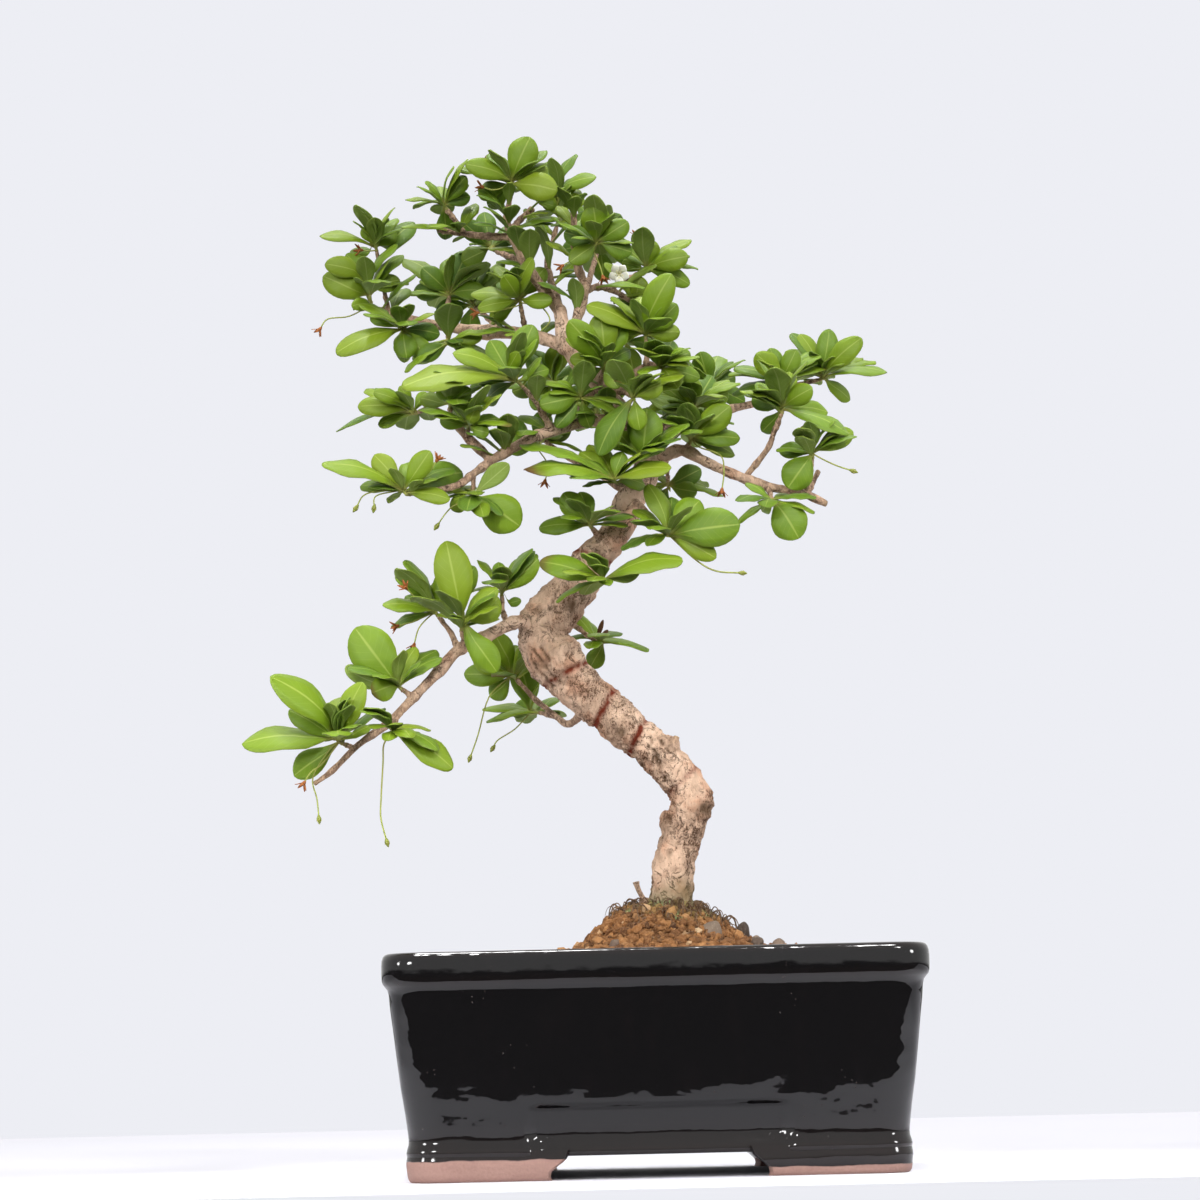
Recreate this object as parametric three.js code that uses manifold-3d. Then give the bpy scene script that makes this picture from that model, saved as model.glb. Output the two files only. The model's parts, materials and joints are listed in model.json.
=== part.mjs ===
// Fukien tea bonsai in its glazed pot.
// Millimetres, +Z up, front of the pot towards -Y. The origin is under the middle of the whole tree's box.
import * as THREE from "three";
import { mergeVertices } from "three/addons/utils/BufferGeometryUtils.js";
import Module from "manifold-3d";

const wasm = await Module();
wasm.setup();

// Driving sizes of the pot
const RIM_WIDTH = 208;
const RIM_DEPTH = 155;
const POT_HEIGHT = 86;
const BODY_BOTTOM = 9;
const FLOOR_TOP = 15;
const CORNER_RADIUS = 12;
const WALL = 7.2;
const FOOT_LENGTH = 62;
const FOOT_SIDE_LENGTH = 45;
const FOOT_THICKNESS = 13;
const ALCOVE_HALF_WIDTH = 48;
const ALCOVE_HALF_SIDE = 24;
const ALCOVE_DEPTH = 4;
const ALCOVE_TOP = 31;
const DRAIN_RADIUS = 8;
const DRAIN_SPACING = 96;
const MESH_SIZE = 27;
const MESH_THICKNESS = 1.2;
const MESH_HOLE = 7;
const MESH_PITCH = 10;

// Driving sizes of the soil and the tree
const CLEARANCE = 0.3;
const SOIL_EDGE = 82.5;
const SOIL_SHOULDER = 87;
const MOUND_RISE = 18;
const TRUNK_X = 7;
const TRUNK_SIDES = 10;
const PEBBLES = 4;
const BLADE_THICKNESS = 0.62;
const BLADE_ARCH = 0.1;
const BLADE_CUP = 0.16;
const BLADE_RATIO = 0.46;
const BLADE_GAP = 1.5;
const NEIGHBOUR_GAP = 1.1;
const SAMPLE_STEP = 1.5;
const LAYER_GAP = 1.3;
const SHOOT_RADIUS = 0.8;
const SHOOT_FREE = 1.8;
const STALK_RADIUS = 0.36;

// The viewpoint that the tree's outline is drawn from: places on it are [x, y, depth], with x and y read on a
// square of 1200 units and depth in millimetres behind the middle of the pot.
const VIEW = {
  middle: 600,
  focal: 3300,
  pitch: THREE.MathUtils.degToRad(8.09),
  roll: THREE.MathUtils.degToRad(1.3),
  eye: 41,
  aside: -17.8,
  distance: 1322.5,
};

function seen(x, y, depth) {
  const across = x - VIEW.middle;
  const above = VIEW.middle - y;
  const level = (across * Math.cos(VIEW.roll) + above * Math.sin(VIEW.roll)) / VIEW.focal;
  const rise = (above * Math.cos(VIEW.roll) - across * Math.sin(VIEW.roll)) / VIEW.focal;
  const forward = Math.cos(VIEW.pitch) - rise * Math.sin(VIEW.pitch);
  const upward = Math.sin(VIEW.pitch) + rise * Math.cos(VIEW.pitch);
  const reach = (VIEW.distance + depth) / forward;
  return new THREE.Vector3(VIEW.aside + level * reach, depth, VIEW.eye + upward * reach);
}

// Wood: each line is a run of points [x, y, depth, thickness in millimetres]
const BRANCHES = {
  trunk: [
    [668, 975, 0, 20], [670, 935, 0, 19], [670, 915, 0, 17.6], [672, 890, 0, 16.8], [674, 866, -1, 16.6],
    [680, 843, -1, 16], [687, 818, -2, 16.4], [692, 797, -3, 16.4], [674, 772, -3, 16], [656, 752, -2, 16],
    [633, 734, -1, 16.4], [613, 716, 0, 16.8], [592, 698, 1, 18], [572, 680, 2, 19], [554, 660, 3, 21.5],
    [542, 638, 3, 20], [544, 619, 3, 18.5], [559, 601, 3, 16.8], [574, 583, 3, 16], [590, 562, 4, 14.4],
    [609, 542, 5, 13.2], [622, 519, 5, 12.4], [628, 504, 5, 12], [640, 485, 5, 12], [648, 465, 4, 11],
    [640, 440, 3, 9.6], [626, 418, 2, 8.4], [600, 385, 0, 7.4], [568, 348, -2, 7.2], [560, 310, -2, 5.6],
  ],
  spur: [[666, 762, -5, 6], [673, 746, -8, 4.2], [677, 736, -9, 2.4]],
  lower_left: [
    [545, 630, 0, 5.2], [525, 622, -5, 5.2], [508, 625, -9, 5], [475, 643, -16, 4.8], [457, 651, -20, 4.6],
    [439, 671, -24, 4.2], [414, 697, -29, 3.6], [386, 725, -34, 3], [358, 745, -38, 2.6], [332, 771, -42, 2.2],
    [314, 784, -44, 1.8],
  ],
  lower_left_up: [[458, 651, -20, 2.6], [452, 635, -18, 2.2], [439, 617, -16, 1.8]],
  lower_left_side: [[463, 648, -19, 2.4], [464, 640, -24, 2], [462, 631, -28, 1.8]],
  lower_left_inner: [[507, 625, -9, 2.6], [503, 611, -10, 2], [502, 598, -10, 1.8]],
  lower_left_middle: [[413, 698, -29, 2.4], [403, 690, -31, 1.8]],
  lower_left_hanging: [[404, 707, -31, 2.2], [397, 719, -38, 1.8], [394, 727, -44, 1.6]],
  lower_left_tip: [[354, 748, -38, 2.2], [344, 744, -40, 1.8]],
  lower_left_stub: [[484, 640, -14, 2.6], [485, 653, -14, 2]],
  behind_low: [[592, 702, 3, 3.8], [570, 724, 22, 3], [555, 716, 36, 2.6], [540, 713, 50, 1.8]],
  behind_high: [[558, 718, 34, 2.4], [534, 698, 36, 2], [518, 681, 37, 1.6]],
  dry_twig: [[561, 614, 5, 3], [571, 623, 13, 2.2], [582, 631, 19, 2], [595, 641, 24, 1.6]],
  knob: [[606, 544, 4, 4], [597, 534, -2, 2.8], [592, 528, -8, 1.8]],
  front_low: [[597, 556, 2, 3.4], [600, 568, -12, 2.4], [603, 578, -25, 1.8]],
  right_fork: [[631, 500, 3, 3.4], [641, 506, -6, 2.6], [649, 516, -12, 2.2], [664, 532, -18, 1.8]],
  right_low: [
    [646, 468, 4, 6], [659, 459, 2, 5.6], [682, 450, 0, 4.6], [706, 462, -4, 4.2], [740, 477, -9, 3.8],
    [769, 487, -12, 3.6], [799, 492, -14, 3.2], [827, 504, -16, 2.6],
  ],
  right_low_first: [[684, 451, 0, 2.4], [689, 444, -4, 1.8]],
  right_low_back: [[664, 457, 2, 2.6], [667, 470, 14, 2], [668, 481, 20, 1.6]],
  right_low_second: [[744, 478, -9, 2.6], [766, 451, -14, 2.4], [774, 432, -16, 2.2], [781, 415, -18, 1.8]],
  right_low_under: [[768, 487, -12, 2.4], [771, 498, -16, 1.8]],
  right_low_end: [[805, 494, -14, 2.6], [809, 480, -15, 2.2], [812, 460, -17, 1.8]],
  right_low_stub: [[808, 493, -14, 2.2], [818, 472, -8, 1.8]],
  right_high: [
    [628, 420, 2, 5.2], [642, 423, 7, 4.2], [662, 425, 12, 3.8], [700, 418, 18, 3.4], [731, 409, 22, 3.2],
    [756, 403, 24, 3.2], [773, 395, 25, 3.2], [789, 388, 26, 2.8], [806, 383, 27, 2.2], [818, 380, 27, 1.8],
  ],
  right_high_up: [[779, 392, 25, 2.4], [781, 385, 20, 1.8]],
  right_high_inner: [[697, 418, 18, 2.4], [695, 411, 11, 1.8]],
  right_high_back: [[672, 424, 13, 2.8], [690, 405, 34, 2.2], [705, 392, 46, 1.8]],
  left_middle: [
    [626, 419, 2, 5.4], [606, 420, -4, 4.8], [590, 421, -8, 4.6], [553, 431, -16, 4.4], [533, 437, -20, 4.2],
    [508, 451, -25, 4], [490, 461, -28, 4],
  ],
  left_middle_upper: [
    [491, 460, -28, 3.6], [469, 439, -26, 3.2], [450, 418, -24, 2.8], [431, 408, -22, 2.2], [419, 412, -21, 1.8],
  ],
  left_middle_upper_twig: [[450, 418, -24, 2.2], [450, 409, -29, 1.8]],
  left_middle_inner: [[467, 437, -26, 2.2], [468, 429, -33, 1.8]],
  left_middle_lower: [
    [491, 461, -28, 3.6], [473, 474, -33, 3], [458, 485, -37, 2.8], [430, 492, -42, 2.4], [412, 494, -45, 1.8],
  ],
  left_middle_stub: [[473, 474, -33, 2.2], [473, 489, -34, 1.8]],
  left_middle_front: [[553, 431, -16, 3], [545, 418, -20, 2.6], [536, 402, -25, 2.2], [522, 386, -30, 1.8]],
  left_middle_thin: [[632, 497, 4, 3], [600, 475, 18, 2.2], [573, 461, 30, 2], [546, 442, 42, 1.6]],
  left_middle_high: [[590, 421, -8, 2.8], [572, 405, 14, 2.2], [556, 388, 34, 1.8]],
  left_high: [
    [572, 351, -2, 6], [556, 343, 2, 5.6], [530, 335, 8, 5.4], [500, 332, 13, 5.4], [477, 332, 17, 6.2],
    [455, 328, 20, 4.6], [431, 324, 24, 4], [400, 316, 28, 3.2], [388, 312, 30, 2.8], [377, 309, 31, 1.8],
  ],
  left_high_shoot: [[389, 312, 30, 2.2], [386, 300, 30, 2], [381, 275, 30, 1.8], [377, 253, 30, 1.6]],
  left_high_under: [[406, 317, 28, 2.4], [403, 326, 20, 1.8]],
  left_high_low: [[448, 327, 21, 2.4], [448, 338, 15, 1.8]],
  left_high_back: [[444, 326, 22, 2.6], [447, 309, 36, 2], [449, 298, 43, 1.8]],
  left_high_inner: [[500, 332, 13, 2.8], [488, 318, 34, 2.2], [476, 308, 52, 1.8]],
  left_high_up: [[526, 335, 9, 2.6], [523, 318, 4, 2], [521, 307, 1, 1.8]],
  top_left: [
    [560, 312, -2, 5], [540, 285, -6, 4.2], [526, 265, -9, 3.8], [514, 240, -12, 3.4], [507, 222, -14, 3],
    [509, 204, -15, 2.2], [511, 190, -16, 1.8],
  ],
  top_left_rough: [[511, 233, -12, 2.8], [518, 222, -9, 2.6], [532, 209, -5, 2.4]],
  top_left_cut: [[511, 237, -12, 3], [482, 236, -11, 2.8], [459, 233, -10, 2.4], [438, 230, -9, 2.2]],
  top_left_cut_up: [[464, 234, -10, 2.4], [459, 226, -12, 2.2], [448, 211, -14, 1.8]],
  top_left_back: [[524, 262, -9, 2.8], [508, 256, 14, 2.2], [494, 250, 32, 1.8]],
  top_middle: [[560, 312, -2, 4], [552, 285, 8, 3.2], [547, 262, 14, 2.6], [553, 240, 18, 2], [558, 222, 19, 1.6]],
  top_right: [
    [568, 346, -2, 4.8], [577, 318, -4, 4], [585, 290, -6, 3.6], [578, 268, -7, 3.2], [575, 250, -8, 3],
    [574, 225, -8, 2.6], [573, 197, -8, 2.2],
  ],
  top_right_twig: [[578, 266, -7, 2.4], [588, 255, -14, 2], [594, 247, -18, 1.6]],
  top_right_side: [[584, 292, -6, 3], [597, 287, 4, 2.6], [612, 290, 14, 2.4], [630, 301, 26, 1.8]],
  top_right_far: [[610, 289, 13, 2.4], [625, 280, 20, 2], [640, 273, 25, 1.6]],
  top_right_back: [[586, 291, -6, 2.8], [592, 270, 22, 2.2], [598, 250, 46, 1.8]],
  crown_right: [
    [602, 388, 0, 4], [616, 391, -8, 3.4], [630, 378, -13, 3], [648, 365, -18, 2.8], [657, 367, -20, 2.2],
  ],
  crown_right_shoot: [[646, 366, -18, 2.4], [647, 352, -19, 2], [646, 341, -20, 1.6]],
  crown_front: [[610, 400, 0, 3], [603, 398, -9, 2.6], [600, 385, -15, 2.2], [603, 372, -20, 1.8]],
  crown_left: [[600, 386, 0, 2.8], [591, 394, -10, 2.2], [584, 397, -16, 1.8]],
  crown_drooping: [[616, 391, -8, 2.4], [626, 393, -20, 2], [631, 396, -28, 1.8]],
  crown_back: [[596, 380, 0, 3.2], [612, 360, 30, 2.4], [622, 345, 48, 1.8]],
  front_upright: [[646, 470, 3, 3], [644, 467, -8, 2.2], [642, 463, -15, 1.8]],
  front_middle: [[638, 487, 4, 3.2], [626, 485, -10, 2.4], [618, 483, -20, 1.8]],
  back_middle: [[644, 450, 3, 3.6], [628, 440, 30, 2.8], [612, 428, 52, 2.2], [600, 418, 66, 1.8]],
  back_right: [[646, 462, 4, 3.4], [668, 440, 34, 2.6], [684, 428, 58, 1.8]],
};

// Leafy shoots, each on the end of the branch it is named after. stem: points [x, y, depth] that the green stem
// runs through. twist: the turn of its four flat sides. leaves: [base x, base y, tip x, tip y, width seen in
// millimetres, tone]. fill: further leaves in seeded directions. stalks: thin stalks [x, y, depth], each ending
// in a bud.
const SHOOTS = {
  "lower_left_tip": {
    "twist": 0.3, "stem": [[336, 738, -41]],
    "leaves": [
      [340, 733, 271, 676, 12, "b"], [335, 740, 289, 710, 9, "m"], [337, 745, 242, 743, 11, "b"],
      [335, 748, 294, 776, 11, "m"], [343, 738, 362, 682, 10, "b"], [349, 736, 384, 708, 5, "d"],
      [347, 741, 371, 726, 4, "m"], [338, 744, 316, 724, 8, "m"],
    ],
    "fill": 2,
  },
  "lower_left_middle": {
    "twist": 0.6, "stem": [[397, 684, -32]],
    "leaves": [
      [400, 687, 355, 628, 18, "m"], [401, 683, 437, 650, 8, "d"], [396, 687, 345, 668, 8, "u"],
      [398, 683, 372, 693, 10, "b"], [399, 682, 416, 647, 7, "m"],
    ],
    "fill": 1,
  },
  "lower_left_hanging": {
    "stem": [[393, 732, -47]],
    "leaves": [[394, 732, 453, 768, 10.4, "b"]],
    "fill": 1,
    "stalks": [[[392, 731, -47], [384, 744, -48], [383, 763, -48], [381, 800, -48], [381, 819, -48], [387, 842, -48]]],
  },
  "lower_left_up": {
    "stem": [[436, 607, -15]],
    "leaves": [
      [441, 610, 475, 567, 11, "m"], [437, 607, 450, 570, 10, "m"], [432, 613, 383, 605, 6, "b"],
      [433, 615, 391, 626, 5, "d"], [435, 607, 414, 583, 8, "m"], [434, 612, 405, 596, 6, "d"],
      [440, 612, 460, 600, 7, "d"],
    ],
    "fill": 2,
  },
  "lower_left_side": {
    "stem": [[463, 619, -30]],
    "leaves": [
      [464, 625, 499, 598, 13, "m"], [463, 622, 446, 541, 15, "b"], [465, 620, 497, 588, 8, "b"],
      [461, 628, 484, 661, 7, "d"], [465, 629, 497, 672, 11, "m"],
    ],
    "fill": 1,
  },
  "lower_left_inner": {
    "stem": [[503, 591, -10]],
    "leaves": [[504, 592, 538, 559, 9, "b"], [505, 605, 521, 600, 4, "m"], [502, 590, 498, 562, 6, "m"]],
    "fill": 2,
  },
  "behind_low": {
    "stem": [[529, 714, 57]],
    "leaves": [[533, 711, 518, 660, 12, "m"], [531, 714, 514, 706, 9, "m"]],
    "fill": 2,
  },
  "behind_high": {
    "stem": [[510, 675, 38]],
    "leaves": [
      [514, 669, 494, 633, 10, "b"], [511, 675, 464, 674, 10, "m"], [511, 680, 490, 697, 9, "m"],
      [514, 672, 516, 645, 10, "m"], [508, 672, 474, 655, 10, "b"],
    ],
    "fill": 2,
  },
  "dry_twig": {
    "stem": [[606, 640, 30]],
    "leaves": [[597, 640, 603, 620, 2, "r"], [599, 640, 608, 630, 2, "r"], [604, 644, 590, 668, 8, "m"]],
    "fill": 1,
  },
  "knob": {
    "stem": [[589, 524, -13]],
    "leaves": [[588, 522, 563, 493, 10, "m"], [587, 527, 539, 528, 8, "m"], [591, 522, 580, 492, 8, "m"]],
    "fill": 1,
  },
  "front_low": {
    "stem": [[604, 581, -32]],
    "leaves": [
      [601, 580, 540, 561, 10.5, "m"], [606, 580, 682, 558, 9, "b"], [602, 575, 590, 553, 6, "d"],
      [606, 578, 640, 570, 7, "u"],
    ],
    "fill": 1,
  },
  "right_fork": {
    "stem": [[670, 536, -22]],
    "leaves": [
      [671, 534, 740, 524, 16, "m"], [669, 532, 648, 484, 9, "d"], [673, 536, 716, 558, 9, "m"],
      [670, 531, 672, 497, 8, "d"], [672, 532, 700, 500, 12, "m"],
    ],
    "fill": 1,
    "stalks": [[[673, 538, -23], [696, 560, -24], [716, 571, -24], [742, 573, -24]]],
  },
  "right_low_first": {
    "stem": [[692, 437, -8]],
    "leaves": [
      [693, 437, 730, 406, 11, "b"], [694, 441, 740, 438, 8, "m"], [691, 436, 682, 410, 8, "d"],
      [693, 440, 735, 455, 7, "d"],
    ],
    "fill": 2,
  },
  "right_low_back": {
    "stem": [[669, 487, 23]],
    "leaves": [[670, 486, 701, 469, 9, "d"], [671, 488, 697, 492, 8, "m"], [667, 488, 655, 510, 8, "d"]],
    "fill": 2,
  },
  "right_low_second": {
    "stem": [[783, 406, -19]],
    "leaves": [
      [782, 412, 849, 434, 8, "m"], [785, 405, 812, 388, 9, "b"], [784, 408, 828, 412, 8, "m"],
      [781, 410, 752, 398, 8, "d"], [783, 403, 790, 372, 8, "m"], [781, 413, 762, 432, 7, "d"],
    ],
    "fill": 2,
  },
  "right_low_under": {
    "stem": [[773, 502, -19]],
    "leaves": [[773, 500, 799, 538, 15, "m"], [772, 499, 762, 512, 6, "m"]],
    "fill": 0,
  },
  "right_low_end": {
    "stem": [[813, 451, -19]],
    "leaves": [
      [814, 452, 853, 431, 9, "b"], [812, 454, 788, 488, 13, "m"], [812, 450, 804, 425, 8, "m"],
      [811, 452, 779, 450, 7, "d"],
    ],
    "fill": 1,
  },
  "right_high": {
    "stem": [[824, 375, 26]],
    "leaves": [
      [823, 375, 861, 338, 10, "b"], [826, 375, 887, 372, 6, "m"], [822, 372, 829, 329, 9, "m"],
      [821, 375, 800, 334, 8, "m"], [824, 372, 845, 345, 7, "d"], [820, 377, 785, 352, 9, "m"],
      [821, 380, 850, 400, 7, "m"],
    ],
    "fill": 2,
  },
  "right_high_up": {
    "stem": [[782, 378, 15]],
    "leaves": [
      [781, 381, 756, 354, 10, "b"], [783, 378, 796, 350, 8, "m"], [779, 383, 734, 368, 6, "d"],
      [779, 385, 732, 393, 6, "d"], [780, 378, 770, 348, 7, "m"],
    ],
    "fill": 1,
  },
  "right_high_inner": {
    "stem": [[693, 405, 5]],
    "leaves": [
      [694, 406, 688, 377, 10, "m"], [693, 411, 648, 399, 6, "u"], [696, 406, 728, 392, 9, "m"],
      [695, 405, 712, 376, 10, "d"], [692, 408, 664, 386, 8, "m"],
    ],
    "fill": 1,
  },
  "right_high_back": {
    "stem": [[711, 387, 52]],
    "leaves": [
      [711, 386, 735, 376, 9, "d"], [710, 385, 700, 352, 10, "m"], [713, 389, 745, 402, 8, "d"],
      [708, 385, 678, 372, 9, "d"],
    ],
    "fill": 2,
  },
  "left_middle_upper": {
    "twist": 0.3, "stem": [[408, 409, -22]],
    "leaves": [
      [408, 407, 358, 406, 9, "m"], [404, 404, 374, 392, 6, "b"], [404, 412, 336, 430, 4.5, "d"],
      [411, 405, 400, 386, 5, "b"], [415, 408, 426, 392, 5, "m"], [407, 413, 378, 425, 6, "m"],
    ],
    "fill": 1,
  },
  "left_middle_upper_twig": {
    "stem": [[450, 403, -33]],
    "leaves": [
      [449, 404, 444, 384, 8, "m"], [451, 404, 470, 388, 7, "m"], [448, 406, 420, 398, 7, "d"],
      [452, 406, 482, 410, 6, "m"],
    ],
    "fill": 1,
  },
  "left_middle_inner": {
    "twist": 1.5, "stem": [[469, 424, -38]],
    "leaves": [
      [470, 427, 499, 418, 6, "d"], [468, 426, 476, 408, 6, "m"], [470, 429, 489, 433, 6, "m"],
      [466, 427, 440, 420, 6, "m"],
    ],
    "fill": 0,
  },
  "left_middle_lower": {
    "stem": [[402, 490, -47]],
    "leaves": [
      [397, 486, 322, 464, 8, "b"], [400, 485, 374, 455, 9, "b"], [406, 487, 430, 451, 9, "b"],
      [410, 490, 463, 472, 14, "d"], [408, 494, 450, 499, 7, "m"], [399, 490, 360, 486, 6, "m"],
      [404, 486, 412, 462, 8, "m"],
    ],
    "fill": 0,
  },
  "left_middle_stub": {
    "stem": [[474, 497, -35]],
    "leaves": [[475, 496, 520, 526, 16, "m"], [476, 492, 509, 464, 8, "u"], [472, 496, 450, 508, 7, "m"]],
    "fill": 0,
  },
  "left_middle_front": {
    "stem": [[512, 379, -33]],
    "leaves": [
      [506, 378, 402, 386, 13, "b"], [503, 373, 453, 353, 8, "b"], [512, 372, 533, 325, 11, "m"],
      [507, 372, 518, 352, 6, "b"], [505, 381, 470, 386, 6, "d"], [504, 373, 457, 368, 6, "m"],
      [518, 380, 549, 369, 7, "m"], [510, 382, 486, 402, 8, "d"], [509, 373, 490, 340, 9, "m"],
    ],
    "fill": 1,
  },
  "left_middle_thin": {
    "stem": [[536, 447, 46]],
    "leaves": [
      [532, 449, 500, 418, 12, "d"], [538, 444, 545, 410, 9, "d"], [534, 448, 505, 445, 9, "m"],
      [540, 444, 570, 425, 9, "d"],
    ],
    "fill": 2,
  },
  "left_middle_high": {
    "stem": [[550, 380, 40]],
    "leaves": [
      [549, 378, 530, 352, 10, "d"], [551, 377, 560, 345, 10, "m"], [547, 381, 512, 392, 9, "d"],
      [553, 380, 585, 372, 9, "d"], [548, 383, 535, 410, 9, "m"],
    ],
    "fill": 2,
  },
  "left_high": {
    "stem": [[370, 298, 27], [366, 280, 24]],
    "leaves": [
      [366, 275, 325, 264, 9, "m"], [370, 298, 323, 276, 12, "m"], [372, 301, 333, 287, 8, "d"],
      [373, 304, 352, 306, 6, "b"], [367, 277, 346, 254, 8, "m"], [368, 288, 400, 280, 8, "d"],
    ],
    "fill": 1,
  },
  "left_high_shoot": {
    "stem": [[373, 245, 29]],
    "leaves": [
      [370, 244, 320, 235, 6, "b"], [371, 244, 365, 226, 6, "b"], [375, 246, 394, 228, 10, "m"],
      [379, 262, 414, 222, 10, "d"], [377, 255, 350, 252, 5, "m"],
    ],
    "fill": 0,
  },
  "left_high_under": {
    "stem": [[402, 331, 14]],
    "leaves": [
      [401, 330, 336, 352, 11, "b"], [403, 330, 407, 358, 10, "m"], [405, 331, 431, 361, 9, "m"],
      [401, 327, 370, 318, 6, "m"], [405, 329, 440, 334, 8, "d"],
    ],
    "fill": 0,
  },
  "left_high_low": {
    "stem": [[449, 344, 10]],
    "leaves": [[447, 344, 418, 358, 8, "d"], [451, 344, 474, 352, 7, "d"], [450, 342, 482, 336, 7, "m"]],
    "fill": 2,
  },
  "left_high_back": {
    "stem": [[450, 291, 47]],
    "leaves": [
      [448, 292, 422, 268, 9, "d"], [452, 290, 468, 251, 11, "d"], [449, 293, 414, 290, 9, "d"],
      [451, 288, 448, 258, 8, "d"], [447, 294, 405, 258, 9, "d"], [453, 293, 484, 290, 8, "m"],
    ],
    "fill": 2,
  },
  "left_high_inner": {
    "stem": [[471, 303, 58]],
    "leaves": [
      [470, 302, 452, 276, 10, "d"], [473, 301, 490, 272, 9, "d"], [469, 305, 436, 312, 9, "d"],
      [472, 306, 470, 336, 9, "d"],
    ],
    "fill": 2,
  },
  "left_high_up": {
    "stem": [[519, 297, -2]],
    "leaves": [
      [518, 298, 504, 276, 8, "b"], [521, 298, 532, 258, 6, "b"], [522, 299, 545, 268, 9, "m"],
      [517, 297, 500, 239, 12, "d"], [515, 300, 471, 294, 7, "m"], [517, 303, 490, 318, 8, "m"],
      [522, 302, 552, 300, 7, "b"], [516, 302, 478, 308, 7, "b"],
    ],
    "fill": 1,
  },
  "top_left": {
    "stem": [[511, 180, -17]],
    "leaves": [
      [509, 178, 466, 164, 9, "b"], [508, 182, 457, 168, 6, "m"], [513, 185, 557, 190, 12, "b"],
      [512, 179, 530, 137, 12.5, "b"], [514, 181, 548, 168, 8, "m"], [508, 184, 478, 196, 8, "m"],
      [509, 184, 489, 208, 8, "m"],
    ],
    "fill": 0,
  },
  "top_left_cut_up": {
    "stem": [[443, 203, -15]],
    "leaves": [
      [442, 203, 426, 181, 3, "m"], [445, 204, 470, 196, 7, "d"], [444, 206, 446, 240, 8, "d"],
      [445, 203, 466, 176, 7, "m"],
    ],
    "fill": 1,
  },
  "top_left_back": {
    "stem": [[489, 247, 38]],
    "leaves": [
      [487, 246, 462, 222, 9, "d"], [489, 249, 462, 262, 9, "d"], [490, 245, 484, 212, 9, "d"],
      [491, 247, 521, 230, 9, "d"],
    ],
    "fill": 2,
  },
  "top_middle": {
    "stem": [[559, 205, 19], [557, 192, 18]],
    "leaves": [
      [557, 190, 596, 177, 7, "m"], [556, 188, 576, 154, 5, "d"], [559, 195, 585, 203, 6, "m"],
      [559, 208, 542, 203, 5, "m"], [557, 192, 548, 162, 7, "d"],
    ],
    "fill": 2,
  },
  "top_right_twig": {
    "stem": [[598, 240, -20]],
    "leaves": [
      [597, 240, 593, 206, 12, "m"], [596, 243, 564, 232, 9, "d"], [600, 241, 628, 222, 9, "m"],
      [600, 244, 632, 252, 9, "m"], [596, 245, 570, 262, 8, "d"],
    ],
    "fill": 1,
  },
  "top_right_side": {
    "stem": [[636, 307, 30]],
    "leaves": [
      [637, 305, 670, 296, 8, "d"], [637, 308, 672, 318, 8, "m"], [634, 309, 622, 338, 9, "d"],
      [635, 304, 640, 276, 9, "m"],
    ],
    "fill": 2,
  },
  "top_right_far": {
    "stem": [[649, 267, 28]],
    "leaves": [
      [650, 266, 688, 256, 10, "m"], [648, 265, 652, 240, 8, "m"], [646, 265, 624, 248, 8, "d"],
      [650, 270, 690, 284, 8, "m"], [645, 268, 622, 262, 7, "m"],
    ],
    "fill": 2,
  },
  "top_right_back": {
    "stem": [[600, 244, 52]],
    "leaves": [
      [599, 242, 585, 218, 9, "d"], [602, 242, 620, 214, 9, "d"], [598, 246, 562, 250, 9, "d"],
      [603, 246, 640, 262, 9, "d"], [600, 248, 604, 282, 9, "d"],
    ],
    "fill": 2,
  },
  "crown_right_shoot": {
    "twist": 0.3, "stem": [[644, 333, -21]],
    "leaves": [
      [643, 332, 671, 274, 12, "b"], [640, 333, 587, 305, 9, "b"], [647, 335, 677, 304, 9, "m"],
      [647, 334, 680, 332, 8, "m"], [645, 339, 676, 347, 6, "d"], [641, 336, 605, 332, 8, "m"],
      [643, 331, 640, 296, 9, "m"],
    ],
    "fill": 2,
  },
  "crown_right": {
    "stem": [[663, 367, -22]],
    "leaves": [
      [662, 366, 678, 388, 10, "m"], [664, 366, 690, 352, 8, "m"], [663, 364, 672, 340, 8, "d"],
      [664, 368, 700, 378, 7, "m"],
    ],
    "fill": 1,
  },
  "crown_front": {
    "stem": [[604, 363, -23]],
    "leaves": [
      [603, 361, 569, 321, 11, "m"], [606, 360, 600, 313, 12, "m"], [602, 363, 570, 359, 7, "m"],
      [602, 367, 574, 384, 7, "d"], [607, 363, 630, 350, 7, "d"], [605, 367, 618, 388, 7, "d"],
      [606, 360, 624, 322, 9, "m"],
    ],
    "fill": 0,
  },
  "crown_left": {
    "stem": [[579, 399, -20]],
    "leaves": [
      [578, 397, 540, 405, 10, "m"], [579, 402, 556, 427, 7, "d"], [578, 396, 552, 385, 7, "m"],
      [580, 402, 590, 428, 7, "d"],
    ],
    "fill": 1,
  },
  "crown_drooping": {
    "stem": [[634, 399, -33]],
    "leaves": [[632, 399, 598, 455, 11, "d"], [636, 397, 662, 384, 8, "m"], [635, 402, 640, 430, 8, "m"]],
    "fill": 1,
  },
  "crown_back": {
    "stem": [[626, 338, 54]],
    "leaves": [
      [625, 337, 610, 308, 10, "d"], [628, 336, 648, 312, 9, "d"], [624, 340, 588, 346, 9, "d"],
      [629, 339, 665, 350, 9, "d"], [626, 342, 634, 374, 9, "d"],
    ],
    "fill": 2,
  },
  "front_upright": {
    "stem": [[642, 458, -21]],
    "leaves": [[642, 460, 647, 408, 14.4, "m"], [644, 458, 668, 432, 8, "d"], [640, 459, 618, 432, 8, "m"]],
    "fill": 0,
  },
  "front_middle": {
    "stem": [[613, 480, -26]],
    "leaves": [
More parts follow.
